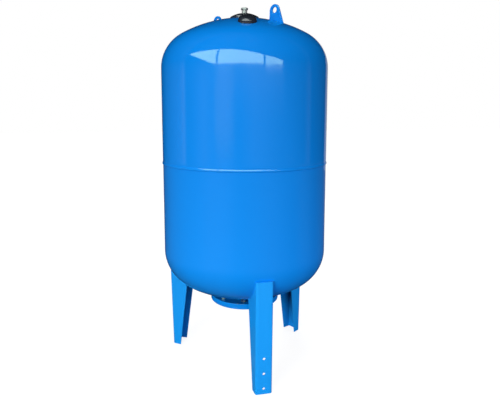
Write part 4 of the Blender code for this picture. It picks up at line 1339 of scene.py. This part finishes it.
def stem_brass():
    hexagon = carve(hex_form(VALVE_HEX_FLATS, VALVE_HEX_LOW, VALVE_HEX_HIGH),
                    drill(VALVE_BORE + VALVE_BORE_ROOM, -STEM_DRILL, STEM_DRILL, VALVE_STEPS))
    rows = [
        (VALVE_BORE, VALVE_STEM_TOP - VALVE_LIP), (VALVE_BORE, SPIGOT_LOW),
        (SPIGOT_RADIUS - SPIGOT_EASE, SPIGOT_LOW), (SPIGOT_RADIUS, SPIGOT_LOW + SPIGOT_EASE),
        (SPIGOT_RADIUS, SPIGOT_TOP), (VALVE_STEM_CORE, SPIGOT_TOP + SPIGOT_STEP),
    ]
    rows += thread(VALVE_STEM_CORE, VALVE_STEM_RADIUS, VALVE_PITCH, VALVE_THREAD_LOW,
                   VALVE_THREAD_HIGH, VALVE_STEPS)
    rows.append((VALVE_STEM_CORE - VALVE_LIP, VALVE_STEM_TOP))
    tube = finished("stem_tube", wall(rows, VALVE_STEPS), BRASS)
    return joined("air_stem", [hexagon, tube], BRASS, VALVE)


wear(boss_piece(), "blue_paint", "valve_boss")
wear(stem_brass(), "brass", "valve_stem")

# %% Core and pin
CORE_RADIUS = 0.0024
CORE_CHAMBER = 0.00175
CORE_TOP = 0.0088
CORE_LOW = -0.0014
CORE_SHOULDER = 0.0011
PIN_RADIUS = 0.00075
PIN_TIP = 0.0093
PIN_COLLAR = 0.0014
PIN_COLLAR_LOW = 0.0070
PIN_COLLAR_HIGH = 0.0078
PIN_SEAL = 0.0021
SEAL_HIGH = CORE_LOW - FIT_GAP
SEAL_LOW = SEAL_HIGH - 0.0015
FINE_EASE = 0.0001
CORE_STEPS = 40


def core_piece():
    guide = PIN_RADIUS + FIT_GAP
    return spun("core_barrel", [
        (CORE_CHAMBER, CORE_TOP, 2 * FINE_EASE), (CORE_RADIUS, CORE_TOP, 3 * FINE_EASE),
        (CORE_RADIUS, CORE_LOW, 2 * FINE_EASE), (guide, CORE_LOW),
        (guide, CORE_SHOULDER), (CORE_CHAMBER, CORE_SHOULDER),
    ], CORE_STEPS, BRASS, VALVE)


def pin_piece():
    return spun("core_pin", [
        (0.0, PIN_TIP), (PIN_RADIUS, PIN_TIP, 3 * FINE_EASE), (PIN_RADIUS, PIN_COLLAR_HIGH),
        (PIN_COLLAR, PIN_COLLAR_HIGH, FINE_EASE), (PIN_COLLAR, PIN_COLLAR_LOW, FINE_EASE),
        (PIN_RADIUS, PIN_COLLAR_LOW), (PIN_RADIUS, SEAL_HIGH),
        (PIN_SEAL, SEAL_HIGH, 2 * FINE_EASE), (PIN_SEAL, SEAL_LOW, 4 * FINE_EASE), (0.0, SEAL_LOW),
    ], VALVE_STEPS, BRASS, VALVE, closed=False)


wear(core_piece(), "brass", "valve_core")
wear(pin_piece(), "brass", "valve_pin", body="valve_pin")

# %% A spring that shortens when the pin is pressed
SPRING_WIRE = 0.0002
SPRING_RADIUS = 0.00125
SPRING_TURNS = 5
SPRING_STEPS = SPRING_TURNS * 28


def spring_piece():
    low = CORE_SHOULDER + FIT_GAP + SPRING_WIRE
    high = PIN_COLLAR_LOW - FIT_GAP - SPRING_WIRE
    coil = []
    for i in range(SPRING_STEPS + 1):
        angle = math.tau * SPRING_TURNS * i / SPRING_STEPS
        coil.append((SPRING_RADIUS * math.cos(angle), SPRING_RADIUS * math.sin(angle),
                     low + (high - low) * i / SPRING_STEPS))
    form = swept([coil], False, MERGE, dimensions="3D", bevel_depth=SPRING_WIRE, bevel_resolution=2,
                 use_fill_caps=True)
    return finished("core_spring", form, ZINC, VALVE)


SPRING = spring_piece()
wear(SPRING, "zinc", "valve_spring")
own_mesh(SPRING)

# %% [markdown]
# ## Caps
# The dust cap has ribs to grip, one every few degrees, so a tree sets them round the wall. The
# large cap is a smooth moulding with a steep side, a cone above it and a thin lip at its foot.

# %% Dust cap with grip ribs
DUST = {"Count": 24, "Circle": 0.00535, "Width": 0.00045, "Length": 0.0030, "Base": 0.0080}
RIB_SIDES = 8
DUST_LOW = 0.0061
DUST_TOP = 0.0109
DUST_ROOF = 0.001
DUST_BORE = 0.00415
DUST_WALL = 0.0052
DUST_TOP_EASE = 0.0009
DUST_LOW_EASE = 0.0003
DUST_STEPS = 64


def rib_tree():
    board, start, size = new_tree("ring_of_grip_ribs", DUST)
    rib = board.node("GeometryNodeMeshCylinder", {
        "Vertices": RIB_SIDES, "Radius": size["Width"], "Depth": size["Length"]})
    ribs = board.node("GeometryNodeInstanceOnPoints", {
        "Points": ring_of_points(board, size, size["Base"]), "Instance": rib})
    both = board.node("GeometryNodeJoinGeometry")
    for part in (start, ribs):
        board.feed(both.socket.node, 0, part)
    return close_tree(board, both, BLACK)


def dust_cap():
    roof = DUST_TOP - DUST_ROOF
    cap = spun("dust_cap_ribbed", [
        (0.0, DUST_TOP), (DUST_WALL, DUST_TOP, DUST_TOP_EASE), (DUST_WALL, DUST_LOW, DUST_LOW_EASE),
        (DUST_BORE, DUST_LOW), (DUST_BORE, roof), (0.0, roof),
    ], DUST_STEPS, BLACK, closed=False)
    grow(cap, rib_tree(), DUST)
    cap.data.transform(VALVE)
    return cap


wear(dust_cap(), "black_plastic", "dust_cap", body="dust_cap")

# %% Valve cap
CAP_RADIUS = 0.0335
CAP_SIDE = (0.0315, 0.0080)
CAP_CONE = (0.0266, 0.0157)
CAP_TOP = 0.0187
CAP_WALL = 0.0022
CAP_ROOF = 0.0150
CAP_LIP = 0.0014
CAP_LIP_HEIGHT = 0.0022
CAP_SIDE_EASE = 0.0026
CAP_CONE_EASE = 0.0022
CAP_INNER_EASE = 0.002
CAP_ROOT = (0.0016, 0.0004)
CAP_ROOT_EASE = 0.0003
CAP_FOOT_EASE = 0.0006
CAP_STEPS = 96
CAP_ARC_STEPS = 10
SLEEVE_INSIDE = VALVE_BOSS_RADIUS + FIT_GAP
SLEEVE_OUTSIDE = SLEEVE_INSIDE + 0.0022
SLEEVE_LOW = 0.0008
SLEEVE_EASE = 0.0004


def valve_cap():
    """The moulded cap: a lip, a steep side, a cone, a slightly domed roof, and a sleeve inside."""
    inside = CAP_RADIUS - CAP_WALL
    base = FIT_GAP - (CROWN_RADIUS - math.sqrt(CROWN_RADIUS**2 - inside**2))
    lip = base + CAP_LIP_HEIGHT
    side = CAP_RADIUS - CAP_LIP
    roof = dome(CAP_TOP, *CAP_CONE, 0.0, CAP_ARC_STEPS)
    outer = roof[:-1] + [
        (*CAP_CONE, CAP_CONE_EASE), (*CAP_SIDE, CAP_SIDE_EASE), (side, lip + CAP_ROOT[0]),
        (side, lip + CAP_ROOT[1], CAP_ROOT_EASE), (CAP_RADIUS, lip, CAP_LIP),
        (CAP_RADIUS, base, CAP_FOOT_EASE),
    ]
    inner = [
        (inside, base), (CAP_SIDE[0] - CAP_WALL, CAP_SIDE[1], CAP_INNER_EASE),
        (CAP_CONE[0] - CAP_WALL, CAP_ROOF - CAP_INNER_EASE, CAP_INNER_EASE),
        (SLEEVE_OUTSIDE, CAP_ROOF), (SLEEVE_OUTSIDE, SLEEVE_LOW, SLEEVE_EASE),
        (SLEEVE_INSIDE, SLEEVE_LOW, SLEEVE_EASE), (SLEEVE_INSIDE, CAP_ROOF), (0.0, CAP_ROOF),
    ]
    return spun("valve_cap_cover", outer + inner, CAP_STEPS, BLACK, VALVE, closed=False)


wear(valve_cap(), "black_plastic", "valve_cap", body="valve_cap")

# %% [markdown]
# ## Studio
# The photograph is a cut-out on white. The floor and the world are white to the camera, and eight
# lamps that throw no reflections light the vessel softly, most of all from the front left. What a
# gloss coat shows is its surroundings, so those are built as cards that only reflections see: a
# window of three panes with a sill, a pale wall behind, and a dim room and ground that are paler in
# some directions.

# %% Floor and world
FLOOR_SIZE = 40.0
FLOOR_DROP = 0.0003
FLOOR_GREY = (0.2, 0.2, 0.2, 1.0)
FLOOR_STOPS = [(0.0, 0.88), (0.05, 0.9), (0.12, 0.94), (0.3, 0.98)]
AMBIENT = 0.42


def ramp(finish, stops, share):
    return finish.node("ShaderNodeValToRGB", {"Fac": share}, stops=stops)


def make_floor():
    """A pale floor that keeps the shadow near the vessel and turns white further out."""
    form = bmesh.new()
    bmesh.ops.create_grid(form, x_segments=1, y_segments=1, size=FLOOR_SIZE / 2)
    pale = Finish("studio_floor", {
        "Base Color": FLOOR_GREY, "Roughness": 0.9, "Specular IOR Level": 0.0,
        "Emission Strength": 1.0})
    level = ramp(pale, FLOOR_STOPS, length_of(pale, pale.place) / (FLOOR_SIZE / 2))
    seen = pale.blend(pale.node("ShaderNodeLightPath"), (0.0, 0.0, 0.0), level)
    pale.feed(pale.shader, "Emission Color", seen)
    drop = Matrix.Translation((0.0, 0.0, -FLOOR_DROP))
    finished("studio_floor", form, pale.material, drop)


def make_world():
    """White to the camera and to reflections, and dimmer as a light."""
    world = bpy.data.worlds.new("studio")
    bpy.context.scene.world = world
    world.use_nodes = True
    board = Board(world.node_tree)
    camera = board.node("ShaderNodeLightPath")
    glossy = board.also(camera, "Is Glossy Ray")
    through = board.also(camera, "Is Transmission Ray")
    background = world.node_tree.nodes["Background"]
    background.inputs["Color"].default_value = (1.0, 1.0, 1.0, 1.0)
    board.feed(background, "Strength", AMBIENT + (camera + glossy + through) * (1.0 - AMBIENT))


make_floor()
make_world()

# %% Lamps
WHITE = (1.0, 1.0, 1.0)
BELLY = Vector((0.0, 0.0, 0.75))
LOWER_HEAD = Vector((0.0, 0.0, 0.45))
FEET = Vector((-0.06, -0.2, 0.1))


def direction(azimuth, elevation):
    """A unit vector from angles in degrees. The azimuth counts from the front to the right."""
    turn, tilt = math.radians(azimuth), math.radians(elevation)
    flat = math.cos(tilt)
    return Vector((math.sin(turn) * flat, -math.cos(turn) * flat, math.sin(tilt)))


def soft_lamp(name, target, azimuth, elevation, distance, size, watts, colour=WHITE, spread=180.0):
    """A square soft lamp that looks at a point and throws no reflection."""
    lamp = bpy.data.lights.new(name, "AREA")
    lamp.shape = "SQUARE"
    lamp.size = size
    lamp.energy = watts
    lamp.color = colour
    lamp.spread = math.radians(spread)
    away = direction(azimuth, elevation)
    made = placed(name, lamp)
    made.location = target + away * distance
    made.rotation_euler = away.to_track_quat("Z", "Y").to_euler()
    made.visible_camera = False
    made.visible_glossy = False


soft_lamp("key_lamp", BELLY, -38.0, 9.0, 3.4, 1.4, 63.4)
soft_lamp("sky_lamp", BELLY, -20.0, 60.0, 3.4, 2.0, 12.0)
soft_lamp("fill_lamp", BELLY, 24.0, 12.0, 3.2, 2.0, 10.5, (0.8, 0.9, 1.0))
soft_lamp("low_lamp", LOWER_HEAD, 70.0, -4.0, 1.55, 0.6, 1.25, (0.7, 0.95, 1.0), 100.0)
soft_lamp("left_lamp", BELLY, -106.0, 2.0, 3.0, 0.8, 0.4, (0.8, 0.92, 1.0), 40.0)
soft_lamp("foot_lamp", FEET, -42.0, 14.0, 2.4, 0.8, 1.05, (1.0, 1.0, 0.85), 40.0)
soft_lamp("heel_lamp", FEET, 54.0, 4.0, 2.4, 0.8, 0.6, (0.7, 0.8, 1.0), 40.0)
soft_lamp("back_lamp", BELLY, 166.0, 8.0, 3.4, 1.4, 42.0)

# %% Cards that only reflections see
SHOULDER = Vector((-0.05, -0.25, 1.15))
CARD_DISTANCE = 4.0
DAYLIGHT = (0.65, 1.0, 0.72)


def glow(name, strength, colour=WHITE):
    """A material that only shines."""
    return Finish(name, {
        "Base Color": (0.0, 0.0, 0.0, 1.0), "Specular IOR Level": 0.0,
        "Emission Color": (*colour, 1.0), "Emission Strength": strength})


def reflect_only(name, form, finish, height=0.0):
    card = finished(name, form, finish.material, Matrix.Translation((0.0, 0.0, height)))
    card.visible_camera = False
    card.visible_diffuse = False
    card.visible_transmission = False
    card.visible_shadow = False


def card(name, corners, strength, colour=WHITE):
    """A flat card whose corners are (azimuth, elevation) as seen from the shoulder."""
    form = bmesh.new()
    form.faces.new([form.verts.new(SHOULDER + CARD_DISTANCE * direction(*corner))
                    for corner in corners])
    reflect_only(name, form, glow(name, strength, colour))


card("window_pane_left", [(-94.2, 22.0), (-61.5, 6.6), (-50.7, 5.5), (-52.5, 35.7)], 8.3, DAYLIGHT)
card("window_pane_middle", [(-47.7, 5.5), (-28.0, 5.69), (-8.0, 5.71), (12.0, 5.47), (13.4, 22.6),
                            (-25.4, 36.8), (-49.8, 36.1)], 7.5, DAYLIGHT)
card("window_pane_right", [(14.7, 5.06), (38.7, 5.2), (38.9, 9.3), (27.2, 16.6), (16.0, 21.1)], 6.6,
     DAYLIGHT)
card("window_sill", [(14.7, 4.0), (38.0, 4.2), (38.0, 5.05), (14.7, 5.15)], 0.95)
card("pale_wall_behind", [(130.0, -12.0), (158.0, -12.0), (170.0, 16.0), (150.0, 16.0),
                          (131.0, 8.0)], 0.4)

# %% A dim room with a wall and a ground that are paler in places
ROOM_RADIUS = 7.0
ROOM_MIDDLE = 0.9
GROUND_RADIUS = ROOM_RADIUS * 0.98
GROUND_RISE = 0.0006
WALL = [(-150, 0.01), (-125, 0.07), (-106, 0.19), (-98.5, 0.5), (-94, 0.08), (-82, 0.13),
        (-66, 0.36), (-53, 0.22), (-40, 0.34), (-19, 0.13), (0, 0.32), (21, 0.2), (34, 0.14),
        (72, 0.05), (80.8, 0.17), (87, 0.02), (120, 0.015)]
WALL_RISE = [(0.0, 1.0), (0.614, 1.0), (0.628, 0.6), (0.66, 0.35), (0.69, 0.2), (0.73, 0.3),
             (1.0, 0.36)]
SILL = [(-50, 0.0), (-46, 0.2), (36, 0.2), (42, 0.0)]
SILL_RISE = [(0.56, 0.0), (0.591, 0.45), (0.603, 0.75), (0.614, 1.0), (0.64, 1.0), (0.65, 0.0)]
GROUND = [(-150, 0.04), (-103, 0.12), (-75, 0.17), (-58, 0.29), (-38, 0.28), (-19, 0.16),
          (21, 0.2), (51, 0.09), (68, 0.1), (95, 0.045), (128, 0.05), (150, 0.3)]
GROUND_REACH = [(0.05, 0.25), (0.12, 0.4), (0.22, 1.0)]


def bearing(finish):
    """The direction of a point from the axis, as a share of a full turn from behind the vessel."""
    across = finish.node("ShaderNodeSeparateXYZ", {0: finish.place})
    return across.math("ARCTAN2", across, 0.0 - finish.also(across, 1)) / math.tau + 0.5


def round_ramp(finish, stops, turn):
    """A ramp whose stops are given by azimuth in degrees."""
    return ramp(finish, [(azimuth / 360 + 0.5, level) for azimuth, level in stops], turn)


def dim_floor():
    """A disc close over the floor, paler in front than at the sides, and dark under the vessel."""
    form = bmesh.new()
    bmesh.ops.create_circle(form, cap_ends=True, segments=48, radius=GROUND_RADIUS)
    shine = glow("dim_floor", 1.0)
    reach = ramp(shine, GROUND_REACH, length_of(shine, shine.place) / ROOM_RADIUS)
    level = round_ramp(shine, GROUND, bearing(shine)) * reach
    shine.feed(shine.shader, "Emission Color", level)
    reflect_only("dim_floor", form, shine, GROUND_RISE)


def dim_room():
    """A closed dome whose level changes with the direction and with the height."""
    form = bmesh.new()
    bmesh.ops.create_uvsphere(form, u_segments=64, v_segments=32, radius=ROOM_RADIUS)
    shine = glow("dim_room", 1.0)
    turn = bearing(shine)
    height = height_of(shine) / (2 * ROOM_RADIUS) + 0.5
    wall_level = round_ramp(shine, WALL, turn) * ramp(shine, WALL_RISE, height)
    sill_level = round_ramp(shine, SILL, turn) * ramp(shine, SILL_RISE, height)
    shine.feed(shine.shader, "Emission Color", wall_level + sill_level)
    reflect_only("dim_room", form, shine, ROOM_MIDDLE)


dim_floor()
dim_room()

# %% [markdown]
# ## Camera
# The camera's place, tilt and lens were worked out from the outline of the vessel in the
# photograph. The small shifts put the picture's optical middle where the photograph has it.

# %% Camera and view
CAMERA_PLACE = (-0.4018, -1.7919, 0.9900)
CAMERA_PITCH = math.radians(90.0 - 6.57)
CAMERA_TURN = math.radians(-12.64)
CAMERA_LENS = 33.54
CAMERA_SHIFT = (0.0110, -0.0714)
SENSOR_WIDTH = 36.0

camera_data = bpy.data.cameras.new("camera")
camera_data.lens = CAMERA_LENS
camera_data.sensor_width = SENSOR_WIDTH
camera_data.sensor_fit = "HORIZONTAL"
camera_data.shift_x, camera_data.shift_y = CAMERA_SHIFT
camera = placed("camera", camera_data)
camera.location = CAMERA_PLACE
camera.rotation_euler = (CAMERA_PITCH, 0.0, CAMERA_TURN)
bpy.context.scene.camera = camera
bpy.context.scene.view_settings.view_transform = "Standard"
